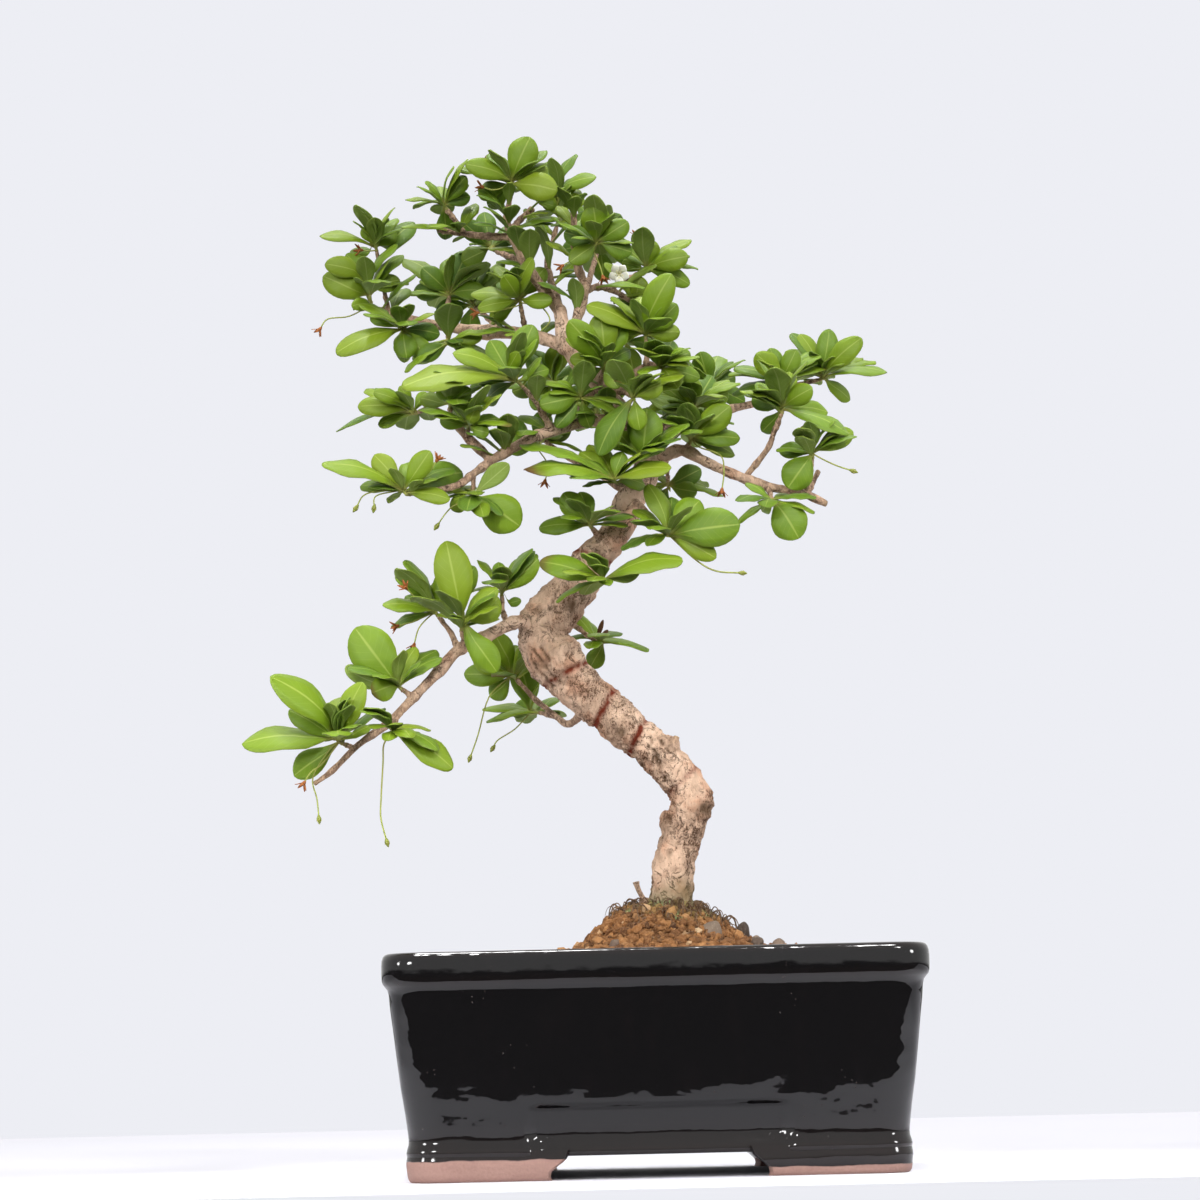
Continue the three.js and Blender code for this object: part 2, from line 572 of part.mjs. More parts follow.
      [612, 480, 524, 469, 8, "b"], [608, 476, 520, 444, 6, "m"], [616, 480, 671, 467, 8, "b"],
      [613, 476, 623, 452, 7, "m"], [610, 477, 580, 452, 8, "m"], [614, 478, 645, 485, 7, "m"],
    ],
    "fill": 1,
  },
  "back_middle": {
    "stem": [[594, 412, 72]],
    "leaves": [
      [593, 410, 570, 388, 10, "d"], [596, 409, 612, 380, 9, "d"], [592, 414, 556, 422, 9, "d"],
      [597, 413, 634, 418, 9, "d"],
    ],
    "fill": 2,
  },
  "back_right": {
    "stem": [[690, 423, 65]],
    "leaves": [
      [690, 421, 680, 392, 9, "d"], [693, 421, 722, 404, 9, "d"], [694, 425, 728, 434, 9, "d"],
      [688, 425, 656, 436, 9, "d"],
    ],
    "fill": 2,
  },
};

const FLOWER = {
  lobes: 5, radius: 4.6, lobe_width: 3.6,
  run: [[619, 274, 6, 2.6], [619, 274, 7.6, 2.6], [619, 274, 9, 1.4], [619, 280, 13.4, 1.1], [619, 282.4, 15.3, 1.1]],
};

// Colours read off the object, by tone for the leaves
const COLOURS = {
  glaze: 0x0c0b0d,
  soil: 0xb5814a,
  bark: 0xc9ab8c,
  mesh: 0x2b2b2e,
  petal: 0xf4f1e6,
  b: 0x8fb52f,
  m: 0x639628,
  d: 0x2f6b1f,
  u: 0x8aa86a,
  r: 0x3a2018,
};

// Random numbers that are the same on every run
function seeded(seed) {
  let state = seed >>> 0;
  return () => {
    state = (state + 0x6d2b79f5) >>> 0;
    let mixed = state;
    mixed = Math.imul(mixed ^ (mixed >>> 15), mixed | 1);
    mixed ^= mixed + Math.imul(mixed ^ (mixed >>> 7), mixed | 61);
    return ((mixed ^ (mixed >>> 14)) >>> 0) / 4294967296;
  };
}

function between(draw, low, high) {
  return low + (high - low) * draw();
}

function smooth(low, high, value) {
  return THREE.MathUtils.smoothstep(value, low, high);
}

// Closed solids
function geometryOf(points, triangles) {
  const geometry = new THREE.BufferGeometry();
  geometry.setAttribute("position", new THREE.Float32BufferAttribute(points.flatMap((p) => [p.x, p.y, p.z]), 3));
  geometry.setIndex(triangles.flat());
  return geometry;
}

function signedVolume(points, triangles) {
  const cross = new THREE.Vector3();
  return triangles.reduce((sum, [a, b, c]) => sum + points[a].dot(cross.crossVectors(points[b], points[c])), 0) / 6;
}

function outward(points, triangles) {
  const turned = signedVolume(points, triangles) < 0 ? triangles.map(([a, b, c]) => [a, c, b]) : triangles;
  return geometryOf(points, turned);
}

function capOf(ring) {
  const flat = ring.map((point) => new THREE.Vector2(point.x, point.y));
  return THREE.ShapeUtils.triangulateShape(flat, []);
}

function fanOf(ring) {
  return Array.from({ length: ring.length - 2 }, (_, i) => [0, i + 1, i + 2]);
}

// A skin over rings with as many points each, closed by a cap at both ends
function loft(rings, cap = fanOf) {
  const count = rings[0].length;
  const triangles = cap(rings[0]).map(([a, b, c]) => [a, c, b]);
  for (let row = 0; row < rings.length - 1; row += 1) {
    for (let i = 0; i < count; i += 1) {
      const here = row * count + i;
      const next = row * count + ((i + 1) % count);
      triangles.push([here, next, next + count], [here, next + count, here + count]);
    }
  }
  const last = (rings.length - 1) * count;
  triangles.push(...cap(rings.at(-1)).map((corners) => corners.map((corner) => corner + last)));
  return outward(rings.flat(), triangles);
}

function solid(geometry) {
  const bare = geometry.clone();
  bare.deleteAttribute("normal");
  bare.deleteAttribute("uv");
  const merged = mergeVertices(bare, 1e-4);
  const vertProperties = new Float32Array(merged.getAttribute("position").array);
  const triVerts = new Uint32Array(merged.getIndex().array);
  return new wasm.Manifold(new wasm.Mesh({ numProp: 3, vertProperties, triVerts }));
}

function joined(solids) {
  return solids.reduce((whole, piece) => whole.add(piece));
}

function cut(body, cutters) {
  return cutters.reduce((whole, cutter) => whole.subtract(cutter), body);
}

// The surface of a solid's largest body: a hollow sealed by fusing is filled, and a loose scrap is dropped
function surfaceOf(body) {
  const pieces = body.decompose();
  const largest = pieces.reduce((best, piece) => (piece.volume() > best.volume() ? piece : best));
  const mesh = largest.getMesh();
  const geometry = new THREE.BufferGeometry();
  geometry.setAttribute("position", new THREE.Float32BufferAttribute(mesh.vertProperties, 3));
  geometry.setIndex(Array.from(mesh.triVerts));
  return geometry;
}

function boxAt(x, y, z, width, depth, height) {
  return new THREE.BoxGeometry(width, depth, height).translate(x, y, z);
}

function named(name, body, colour, roughness) {
  const geometry = surfaceOf(body);
  geometry.computeVertexNormals();
  const mesh = new THREE.Mesh(geometry, new THREE.MeshStandardMaterial({ color: colour, roughness, metalness: 0 }));
  mesh.name = name;
  return mesh;
}

// Tubes: rings across a run of places, turned along it without twist
function tubeRings(places, sides, leave = null, lump = () => 1, twist = 0) {
  let side = null;
  return places.map(({ point, radius }, row) => {
    const before = places[Math.max(row - 1, 0)].point;
    const after = places[Math.min(row + 1, places.length - 1)].point;
    const along = row === 0 && leave ? leave.clone() : after.clone().sub(before).normalize();
    const guide = side ?? new THREE.Vector3(Math.abs(along.y) > 0.8 ? 1 : 0, Math.abs(along.y) > 0.8 ? 0 : 1, 0);
    side = guide.clone().addScaledVector(along, -guide.dot(along)).normalize();
    const across = new THREE.Vector3().crossVectors(along, side);
    return Array.from({ length: sides }, (_, i) => {
      const turn = (2 * Math.PI * i) / sides + twist;
      const reach = radius * lump(turn, row);
      return point.clone()
        .addScaledVector(side, reach * Math.cos(turn))
        .addScaledVector(across, reach * Math.sin(turn));
    });
  });
}

function tube(places, sides, leave, lump) {
  return solid(loft(tubeRings(places, sides, leave, lump)));
}

// Pot
function roundedRing(halfX, halfY, radius, z) {
  const longCuts = [-0.56, -0.42, 0.42, 0.56];
  const shortCuts = [-0.4, -0.24, 0.24, 0.4];
  const cornerSteps = 3;
  const corners = [[1, 1, 0], [-1, 1, 1], [-1, -1, 2], [1, -1, 3]];
  const ring = [];
  corners.forEach(([signX, signY, quarter]) => {
    for (let i = 0; i <= cornerSteps; i += 1) {
      const turn = (quarter + i / cornerSteps) * (Math.PI / 2);
      const x = signX * (halfX - radius) + radius * Math.cos(turn);
      const y = signY * (halfY - radius) + radius * Math.sin(turn);
      ring.push(new THREE.Vector3(x, y, z));
    }
    const along = quarter % 2 === 0 ? longCuts : shortCuts;
    along.forEach((share) => {
      const x = quarter % 2 === 0 ? -signX * share * halfX : signX * halfX;
      const y = quarter % 2 === 0 ? signY * halfY : -signY * share * halfY;
      ring.push(new THREE.Vector3(x, y, z));
    });
  });
  return ring;
}

// The wall between the feet is drawn in towards the bottom, on all four sides
function alcove(point, halfX, halfY) {
  const height = Math.max(0, (ALCOVE_TOP - point.z) / (ALCOVE_TOP - BODY_BOTTOM));
  const depth = ALCOVE_DEPTH * Math.min(1, height) ** 1.5;
  const onFront = 1 - smooth(ALCOVE_HALF_WIDTH - 6, ALCOVE_HALF_WIDTH + 4, Math.abs(point.x));
  const onSide = 1 - smooth(ALCOVE_HALF_SIDE - 6, ALCOVE_HALF_SIDE + 4, Math.abs(point.y));
  const nearFront = halfY - Math.abs(point.y) < 1 ? onFront : 0;
  const nearSide = halfX - Math.abs(point.x) < 1 ? onSide : 0;
  point.y -= Math.sign(point.y) * depth * nearFront;
  point.x -= Math.sign(point.x) * depth * nearSide;
  return point;
}

function potRing(inset, z, radius = CORNER_RADIUS, plain = false) {
  const halfX = RIM_WIDTH / 2 - inset;
  const halfY = RIM_DEPTH / 2 - inset;
  const ring = roundedRing(halfX, halfY, radius, z);
  return plain ? ring : ring.map((point) => alcove(point, halfX, halfY));
}

// Outer face from the bottom up, over the rolled rim and down the inside: [inset from the rim's side, height]
const POT_OUTSIDE = [
  [8.8, BODY_BOTTOM], [8.2, 11.5], [9.4, 15], [7.8, 24], [6.6, 34], [2.9, 64], [2.6, 71], [0.4, 74],
  [0, 77], [0, POT_HEIGHT - 2.2], [2, POT_HEIGHT],
];
const POT_INSIDE = [[WALL - 0.4, POT_HEIGHT], [WALL + 1, POT_HEIGHT - 1.6], [WALL + 9, FLOOR_TOP]];

function footRings(signX, signY) {
  const levels = [[0, 1.2, 8], [3, 0.3, 7.6], [7.4, 0, 1.5], [BODY_BOTTOM + 2.4, 0.6, 0]];
  const halfX = RIM_WIDTH / 2 - 8.1;
  const halfY = RIM_DEPTH / 2 - 8.1;
  return levels.map(([z, inset, shorter]) => {
    const outerX = halfX - inset;
    const outerY = halfY - inset;
    const startX = outerX - FOOT_LENGTH + shorter;
    const startY = outerY - FOOT_SIDE_LENGTH + shorter;
    const corner = Array.from({ length: 4 }, (_, i) => {
      const turn = (i / 3) * (Math.PI / 2);
      const x = outerX - CORNER_RADIUS + CORNER_RADIUS * Math.cos(turn);
      const y = outerY - CORNER_RADIUS + CORNER_RADIUS * Math.sin(turn);
      return [x, y];
    });
    const outline = [
      [outerX, startY], ...corner, [ALCOVE_HALF_WIDTH + 2, outerY], [startX, outerY - 7],
      [startX + 2, outerY - FOOT_THICKNESS], [outerX - FOOT_THICKNESS, outerY - FOOT_THICKNESS],
      [outerX - FOOT_THICKNESS, startY + 2],
    ];
    const ring = outline.map(([x, y]) => new THREE.Vector3(signX * x, signY * y, z));
    return signX * signY > 0 ? ring : ring.reverse();
  });
}

function drainPlaces() {
  return [-DRAIN_SPACING / 2, DRAIN_SPACING / 2];
}

function pot() {
  const inside = POT_INSIDE.map(([inset, z]) => potRing(inset, z, 7, true));
  const shell = solid(loft([...POT_OUTSIDE.map(([inset, z]) => potRing(inset, z)), ...inside]));
  const feet = [[1, 1], [1, -1], [-1, 1], [-1, -1]].map(([x, y]) => solid(loft(footRings(x, y), capOf)));
  const drains = drainPlaces().map((x) => {
    const drill = new THREE.CylinderGeometry(DRAIN_RADIUS, DRAIN_RADIUS, 30, 16).rotateX(Math.PI / 2);
    return solid(drill.translate(x, 0, BODY_BOTTOM));
  });
  return cut(joined([shell, ...feet]), drains);
}

// Drain mesh: a plastic square with four holes, flat on the floor over a drain hole
function drainMesh(x) {
  const z = FLOOR_TOP + CLEARANCE + MESH_THICKNESS / 2;
  const plate = solid(boxAt(x, 0, z, MESH_SIZE, MESH_SIZE, MESH_THICKNESS));
  const steps = [-MESH_PITCH / 2, MESH_PITCH / 2];
  const holes = steps.flatMap((right) => steps.map((back) => {
    return solid(boxAt(x + right, back, z, MESH_HOLE, MESH_HOLE, 3 * MESH_THICKNESS));
  }));
  return cut(plate, holes);
}

// Soil: fills the pot, and heaps up round the trunk
function soilHeight(x, y) {
  const spread = x < 1.5 ? 28 : 36;
  const far = Math.hypot((x - 1.5) / spread, y / 34);
  const shoulder = SOIL_EDGE + (SOIL_SHOULDER - SOIL_EDGE) * (1 - smooth(1.1, 2.2, far));
  return shoulder + MOUND_RISE * (1 - smooth(0.45, 1.1, far));
}

function soilSurface(draw) {
  const shares = [0.84, 0.6, 0.43, 0.31, 0.2];
  const edge = potRing(WALL + 2.2, SOIL_EDGE, 7, true);
  return [edge, ...shares.map((share) => edge.map((point) => {
    const x = TRUNK_X + (point.x - TRUNK_X) * share;
    const y = point.y * share;
    return new THREE.Vector3(x, y, soilHeight(x, y) + between(draw, -0.7, 0.7));
  }))];
}

function pebble(draw) {
  const stone = new THREE.IcosahedronGeometry(1, 0);
  const turn = between(draw, 0, 2 * Math.PI);
  const far = between(draw, 0.95, 1.5);
  const x = 1.5 + 36 * far * Math.cos(turn);
  const y = 34 * far * Math.sin(turn);
  const size = between(draw, 1.6, 3.4);
  stone.scale(size, size * between(draw, 0.7, 1.1), size * 0.8).rotateZ(turn);
  return solid(stone.translate(x, y, soilHeight(x, y) + size * 0.25));
}

function shownStones() {
  const stones = [[743, 933, -8, 3.6], [757, 941, -20, 2.8], [779, 942, -22, 2.8], [711, 933, -22, 4.4]];
  return stones.map(([x, y, depth, size]) => {
    const place = seen(x, y, depth);
    const stone = new THREE.IcosahedronGeometry(size, 0).scale(1, 0.9, 0.85);
    return solid(stone.translate(place.x, place.y, Math.min(place.z, soilHeight(place.x, place.y) + size * 0.5)));
  });
}

function soil() {
  const draw = seeded(11);
  const foot = potRing(WALL + 9.3, FLOOR_TOP + CLEARANCE, 7, true);
  const body = solid(loft([foot, ...soilSurface(draw)]));
  const pebbles = Array.from({ length: PEBBLES }, () => pebble(draw));
  const buried = BRANCHES.trunk.slice(0, 6).map(([x, y, depth, thick]) => {
    return { point: seen(x, y, depth), radius: thick / 2 + CLEARANCE + 0.1 };
  });
  const hole = tube(buried, TRUNK_SIDES, null, trunkLump);
  const seats = drainPlaces().map((x) => {
    const room = MESH_SIZE + 2 * CLEARANCE;
    const height = 2 * (MESH_THICKNESS + 2 * CLEARANCE);
    return solid(boxAt(x, 0, FLOOR_TOP, room, room, height));
  });
  return cut(joined([body, ...shownStones(), ...pebbles]), [hole, ...seats]);
}

// Wood: trunk, limbs and twigs joined in one
function trunkLump(turn, row) {
  return 1 + 0.05 * Math.sin(3 * turn + row * 0.9) + 0.03 * Math.sin(5 * turn - row * 1.7);
}

function placesOf(run) {
  return run.map(([x, y, depth, thick]) => ({ point: seen(x, y, depth), radius: thick / 2 }));
}

function sidesOf(name) {
  const thick = BRANCHES[name][0][3];
  if (name === "trunk") return TRUNK_SIDES;
  return thick > 3.7 ? 5 : 4;
}

function wood() {
  const parts = Object.entries(BRANCHES).map(([name, run]) => {
    return tube(placesOf(run), sidesOf(name), null, name === "trunk" ? trunkLump : undefined);
  });
  return joined(parts);
}

// Room: groups of points placed so far, so that the blades keep clear of each other and of the wood
const ROOM = [];

function keepClear(owner, points, reaches) {
  const box = new THREE.Box3().setFromPoints(points);
  const middle = box.getCenter(new THREE.Vector3());
  const radius = Math.max(...points.map((point) => point.distanceTo(middle))) + Math.max(...reaches);
  ROOM.push({ owner, points, reaches, middle, radius });
}

function keepTubeClear(owner, places) {
  for (let i = 0; i < places.length - 1; i += 1) {
    const from = places[i];
    const to = places[i + 1];
    const steps = Math.max(1, Math.ceil(from.point.distanceTo(to.point) / 1.5));
    const shares = Array.from({ length: steps + 1 }, (_, step) => step / steps);
    const points = shares.map((share) => from.point.clone().lerp(to.point, share));
    keepClear(owner, points, shares.map((share) => THREE.MathUtils.lerp(from.radius, to.radius, share)));
  }
}

function blocked(owner, samples) {
  const middle = samples[Math.floor(samples.length / 2)];
  const radius = Math.max(...samples.map((point) => point.distanceTo(middle)));
  return ROOM.some((group) => {
    const gap = group.owner === owner ? NEIGHBOUR_GAP : BLADE_GAP;
    if (group.middle.distanceTo(middle) > group.radius + radius + gap) return false;
    return group.points.some((point, i) => {
      const keep = (group.reaches[i] + gap) ** 2;
      return samples.some((sample) => sample.distanceToSquared(point) < keep);
    });
  });
}

// Blades: share runs from base to tip, edge from -1 to 1 across
function bladeHalf(blade, share) {
  return (blade.width / 2) * Math.max(0.09, Math.sin(Math.PI * share ** 1.7) ** 0.7);
}

function bladePoint(blade, share, edge, half = bladeHalf(blade, share)) {
  const rise = blade.arch * blade.length * 4 * share * (1 - share) - BLADE_CUP * Math.abs(edge) * half;
  return blade.base.clone().lerp(blade.tip, share)
    .addScaledVector(blade.side, edge * half)
    .addScaledVector(blade.normal, rise);
}

function bladeSamples(blade) {
  const rows = Math.ceil((0.75 * blade.length) / SAMPLE_STEP);
  const columns = Math.ceil((0.9 * blade.width) / SAMPLE_STEP);
  const samples = [];
  for (let row = 0; row <= rows; row += 1) {
    for (let column = 0; column <= columns; column += 1) {
      samples.push(bladePoint(blade, 0.25 + (0.75 * row) / rows, (2 * column) / columns - 1));
    }
  }
  return samples;
}

function makeBlade(base, tip, seenWidth, tone, upright) {
  const along = tip.clone().sub(base);
  const length = along.length();
  const axis = along.clone().normalize();
  const ratio = tone === "r" ? 0.22 : BLADE_RATIO;
  const width = Math.max(seenWidth, ratio * length);
  const lift = upright.clone().addScaledVector(axis, -upright.dot(axis)).normalize();
  const front = new THREE.Vector3(0, -1, 0);
  const facing = front.addScaledVector(axis, -front.dot(axis)).normalize();
  const sideways = new THREE.Vector3().crossVectors(axis, facing);
  if (sideways.dot(lift) < 0) sideways.negate();
  const turn = Math.acos(Math.min(1, seenWidth / width));
  const shown = facing.multiplyScalar(Math.cos(turn)).addScaledVector(sideways, Math.sin(turn));
  const normal = seenWidth > 0 ? shown : lift;
  if (tone === "u") normal.negate();
  const side = new THREE.Vector3().crossVectors(normal, axis).normalize();
  return { base, tip, length, width, axis, normal, side, arch: BLADE_ARCH };
}

// Four-cornered sections of a blade, from the stem's facet that it grows out of to its tip
function bladeRings(blade, facet) {
  const sections = [[0.42, 0.37], [0.78, 0.47], [1, 0.17]].map(([share, half]) => {
    const middle = bladePoint(blade, share, 0);
    return [[-1, -1], [1, -1], [1, 1], [-1, 1]].map(([edge, face]) => middle.clone()
      .addScaledVector(blade.side, edge * half * blade.width)
      .addScaledVector(blade.normal, (face * BLADE_THICKNESS) / 2));
  });
  const turned = (shift) => facet.map((_, i) => sections[0][(i + shift) % 4]);
  const apart = (ring) => ring.reduce((sum, point, i) => sum + point.distanceToSquared(facet[i]), 0);
  const shifts = [0, 1, 2, 3].sort((one, two) => apart(turned(one)) - apart(turned(two)));
  return [facet, ...sections.map((ring) => ring.map((_, i) => ring[(i + shifts[0]) % 4]))];
}

// Shoots: a green stem on the end of a twig, with its blades, stalks and buds
function stemOf(name) {
  const twig = placesOf(BRANCHES[name]);
  const end = twig.at(-1);
  const leave = end.point.clone().sub(twig.at(-2).point).normalize();
  const start = end.point.clone().addScaledVector(leave, CLEARANCE);
  const listed = SHOOTS[name].stem.map(([x, y, depth]) => seen(x, y, depth));
  const free = start.clone().addScaledVector(leave, SHOOT_FREE);
  const line = evenly([free, ...listed], stemParts(name));
  const points = [start, ...line];
  const places = points.map((point, i) => {
    const radius = Math.min(SHOOT_RADIUS, end.radius * 0.92);
    return { point, radius: THREE.MathUtils.lerp(radius, 0.6, i / (points.length - 1)) };
  });
  return { places, rings: tubeRings(places, 4, leave, undefined, SHOOTS[name].twist) };
}

function stemParts(name) {
  const { leaves, fill, stalks = [] } = SHOOTS[name];
  return Math.max(2, Math.ceil((leaves.length + fill + stalks.length) / 3));
}

function evenly(points, parts) {
  const lengths = points.slice(1).map((point, i) => point.distanceTo(points[i]));
  const whole = lengths.reduce((sum, length) => sum + length);
  return Array.from({ length: parts + 1 }, (_, index) => {
    let left = (index / parts) * whole;
    let part = 0;
    while (part < lengths.length - 1 && left > lengths[part]) {
      left -= lengths[part];
      part += 1;
    }
    return points[part].clone().lerp(points[part + 1], left / lengths[part]);
  });
}

// The stem's flat sides, each a place for one blade to grow from
function facetsOf(rings) {
  return rings.slice(1, -1).flatMap((ring, row) => ring.map((point, i) => {
    const next = (i + 1) % ring.length;
    const above = rings[row + 2];
    const corners = [point, ring[next], above[next], above[i]];
    const middle = corners.reduce((sum, corner) => sum.add(corner), new THREE.Vector3()).divideScalar(4);
    const across = corners[1].clone().sub(corners[0]);
    const normal = across.cross(corners[3].clone().sub(corners[0])).normalize();
    return { corners, middle, normal, free: true };
  }));
}

function facing(facet, place) {
  const towards = place.clone().sub(facet.middle);
  return facet.normal.dot(towards.normalize());
}

// The free facet that looks most towards a blade's broad part
function facetFor(shoot, blade) {
  const place = bladePoint(blade, 0.42, 0);
  const free = shoot.facets.filter((facet) => facet.free);
  return free.reduce((best, facet) => (facing(facet, place) > facing(best, place) ? facet : best));
}

function shownBlade(shoot, [x0, y0, x1, y1, seenWidth, tone], layer, lean) {
  const stem = shoot.places.at(-1).point;
  const base = seen(x0, y0, stem.y + layer);
  const tip = seen(x1, y1, base.y + lean);
  return makeBlade(base, tip, seenWidth, tone, new THREE.Vector3(0, 0, 1));
}

const LEANS = [0, 2.5, -2.5, 5, -5, 8, -8, 11, -11, 14, -14, 18, -18];

function placeShownBlade(shoot, line, layer, draw) {
  const first = 2.4 * layer + between(draw, -2, 2);
  for (const change of LEANS) {
    const blade = shownBlade(shoot, line, layer + 0.1 * change, first + change);
    if (!blocked(shoot.owner, bladeSamples(blade))) return keepBlade(shoot, blade);
  }
  return false;
}

function placeFillBlade(shoot, draw) {
  for (let trial = 0; trial < 16; trial += 1) {
    const free = shoot.facets.filter((facet) => facet.free);
    const facet = free[Math.floor(draw() * free.length)];
    const sway = between(draw, -0.6, 0.6);
    const deep = (draw() < 0.5 ? -1 : 1) * between(draw, 0.5, 1);
    const axis = new THREE.Vector3(sway, deep, between(draw, -0.15, 0.7)).normalize();
    const length = shoot.size * between(draw, 0.8, 1.15);
    const base = facet.middle.clone().addScaledVector(axis, 1.5);
    const tip = base.clone().addScaledVector(axis, length);
    const blade = makeBlade(base, tip, 0, "m", new THREE.Vector3(axis.x * 0.4, axis.y * 0.4, 1));
    const outwards = facet.normal.dot(axis) > 0.3;
    if (outwards && !blocked(shoot.owner, bladeSamples(blade))) return keepBlade(shoot, blade);
  }
  return false;
}

function keepBlade(shoot, blade) {
  const facet = facetFor(shoot, blade);
  facet.free = false;
  const points = bladeSamples(blade);
  keepClear(shoot.owner, points, points.map(() => 0));
  shoot.blades.push({ ...blade, facet });
  return true;
}

function stalkPlaces(stem, run) {
  const points = run.map(([x, y, depth]) => seen(x, y, depth));
  const gaps = stem.slice(2).map(({ point }) => point.distanceTo(points[0]));
  points[0] = stem[2 + gaps.indexOf(Math.min(...gaps))].point;
  return points.map((point) => ({ point, radius: STALK_RADIUS }));
}

function bud(places) {
  const end = places.at(-1).point;
  const along = end.clone().sub(places.at(-2).point).normalize();
  const steps = [[-1.4, 0.4], [0, 1.1], [1.6, 0.45]];
  const run = steps.map(([reach, radius]) => ({ point: end.clone().addScaledVector(along, reach), radius }));
  return tube(run, 4);
}

const TONE_ORDER = "burmd";

// Blades of a shoot lie in layers one behind another, bright ones in front and dark ones behind
function layersOf(leaves) {
  const order = leaves.map((_, i) => i).sort((one, two) => {
    return TONE_ORDER.indexOf(leaves[one][5]) - TONE_ORDER.indexOf(leaves[two][5]) || one - two;
  });
  return leaves.map((_, i) => (order.indexOf(i) - (leaves.length - 1) / 2) * LAYER_GAP);
}

function layShoots() {
  Object.values(BRANCHES).forEach((run) => keepTubeClear(-1, placesOf(run)));
  keepTubeClear(-1, placesOf(FLOWER.run));
  const shoots = Object.keys(SHOOTS).map((name, owner) => {
    const { places, rings } = stemOf(name);
    const stalks = (SHOOTS[name].stalks ?? []).map((run) => stalkPlaces(places, run));
    keepTubeClear(owner, places);
    stalks.forEach((stalk) => keepTubeClear(owner, stalk));
    return { name, owner, places, rings, stalks, size: SHOOTS[name].size ?? 23, facets: facetsOf(rings), blades: [] };
  });
  shoots.forEach((shoot) => {
    const { leaves } = SHOOTS[shoot.name];
    const layers = layersOf(leaves);
    const draw = seeded(100 + shoot.owner);
    leaves.forEach((line, i) => placeShownBlade(shoot, line, layers[i], draw));
  });
  shoots.forEach((shoot) => {
    const draw = seeded(500 + shoot.owner);
    for (let i = 0; i < SHOOTS[shoot.name].fill; i += 1) placeFillBlade(shoot, draw);
  });
  return shoots;
}

function shootSolid(shoot) {
  const stem = solid(loft(shoot.rings));
  const blades = shoot.blades.map((blade) => solid(loft(bladeRings(blade, blade.facet.corners))));
  const stalks = shoot.stalks.flatMap((places) => [tube(places, 3), bud(places)]);
  return joined([stem, ...blades, ...stalks]);
}

function shootColour(name) {
  const tones = SHOOTS[name].leaves.map((line) => line[5]);
  const votes = (tone) => tones.filter((other) => other === tone).length;
  return COLOURS[["b", "m", "d"].reduce((best, tone) => (votes(tone) > votes(best) ? tone : best))];
}

// The open flower: five lobes drawn out of the flat sides of a short cup, with its stalk back to the twig
function flower() {
  const rings = tubeRings(placesOf(FLOWER.run), FLOWER.lobes);
  const lobes = facetsOf([rings[0], ...rings]).slice(0, FLOWER.lobes).map((facet) => {
    const axis = facet.normal.clone().add(new THREE.Vector3(0, -0.3, 0)).normalize();
    const tip = facet.middle.clone().addScaledVector(axis, FLOWER.radius - 1);
    const lobe = makeBlade(facet.middle, tip, 0, "m", new THREE.Vector3(0, -1, 0));
    return solid(loft(bladeRings({ ...lobe, width: FLOWER.lobe_width, arch: 0 }, facet.corners)));
  });
  return joined([solid(loft(rings)), ...lobes]);
}

function bonsai() {
  const tree = new THREE.Group();
  tree.add(named("pot", pot(), COLOURS.glaze, 0.12));
  tree.add(named("drain_mesh_left", drainMesh(drainPlaces()[0]), COLOURS.mesh, 0.6));
  tree.add(named("drain_mesh_right", drainMesh(drainPlaces()[1]), COLOURS.mesh, 0.6));
  tree.add(named("soil", soil(), COLOURS.soil, 0.95));
  tree.add(named("wood", wood(), COLOURS.bark, 0.85));
  tree.add(named("flower", flower(), COLOURS.petal, 0.6));
  layShoots().forEach((shoot) => {
    tree.add(named(`leaves_${shoot.name}`, shootSolid(shoot), shootColour(shoot.name), 0.4));
  });
  const box = new THREE.Box3().setFromObject(tree);
  const middle = box.getCenter(new THREE.Vector3());
  tree.position.set(-middle.x, -middle.y, -box.min.z);
  return tree;
}

export default bonsai();
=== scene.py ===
"""Looks of the fukien tea bonsai in its glazed pot: fine leaves, bark, soil, moss, glaze, flower and studio."""
import json
from math import acos, ceil, copysign, cos, hypot, pi, radians, sin, sqrt
from types import SimpleNamespace as Record

import bmesh
import bpy
import numpy as np
from mathutils import Matrix, Vector, noise
from numpy.linalg import norm

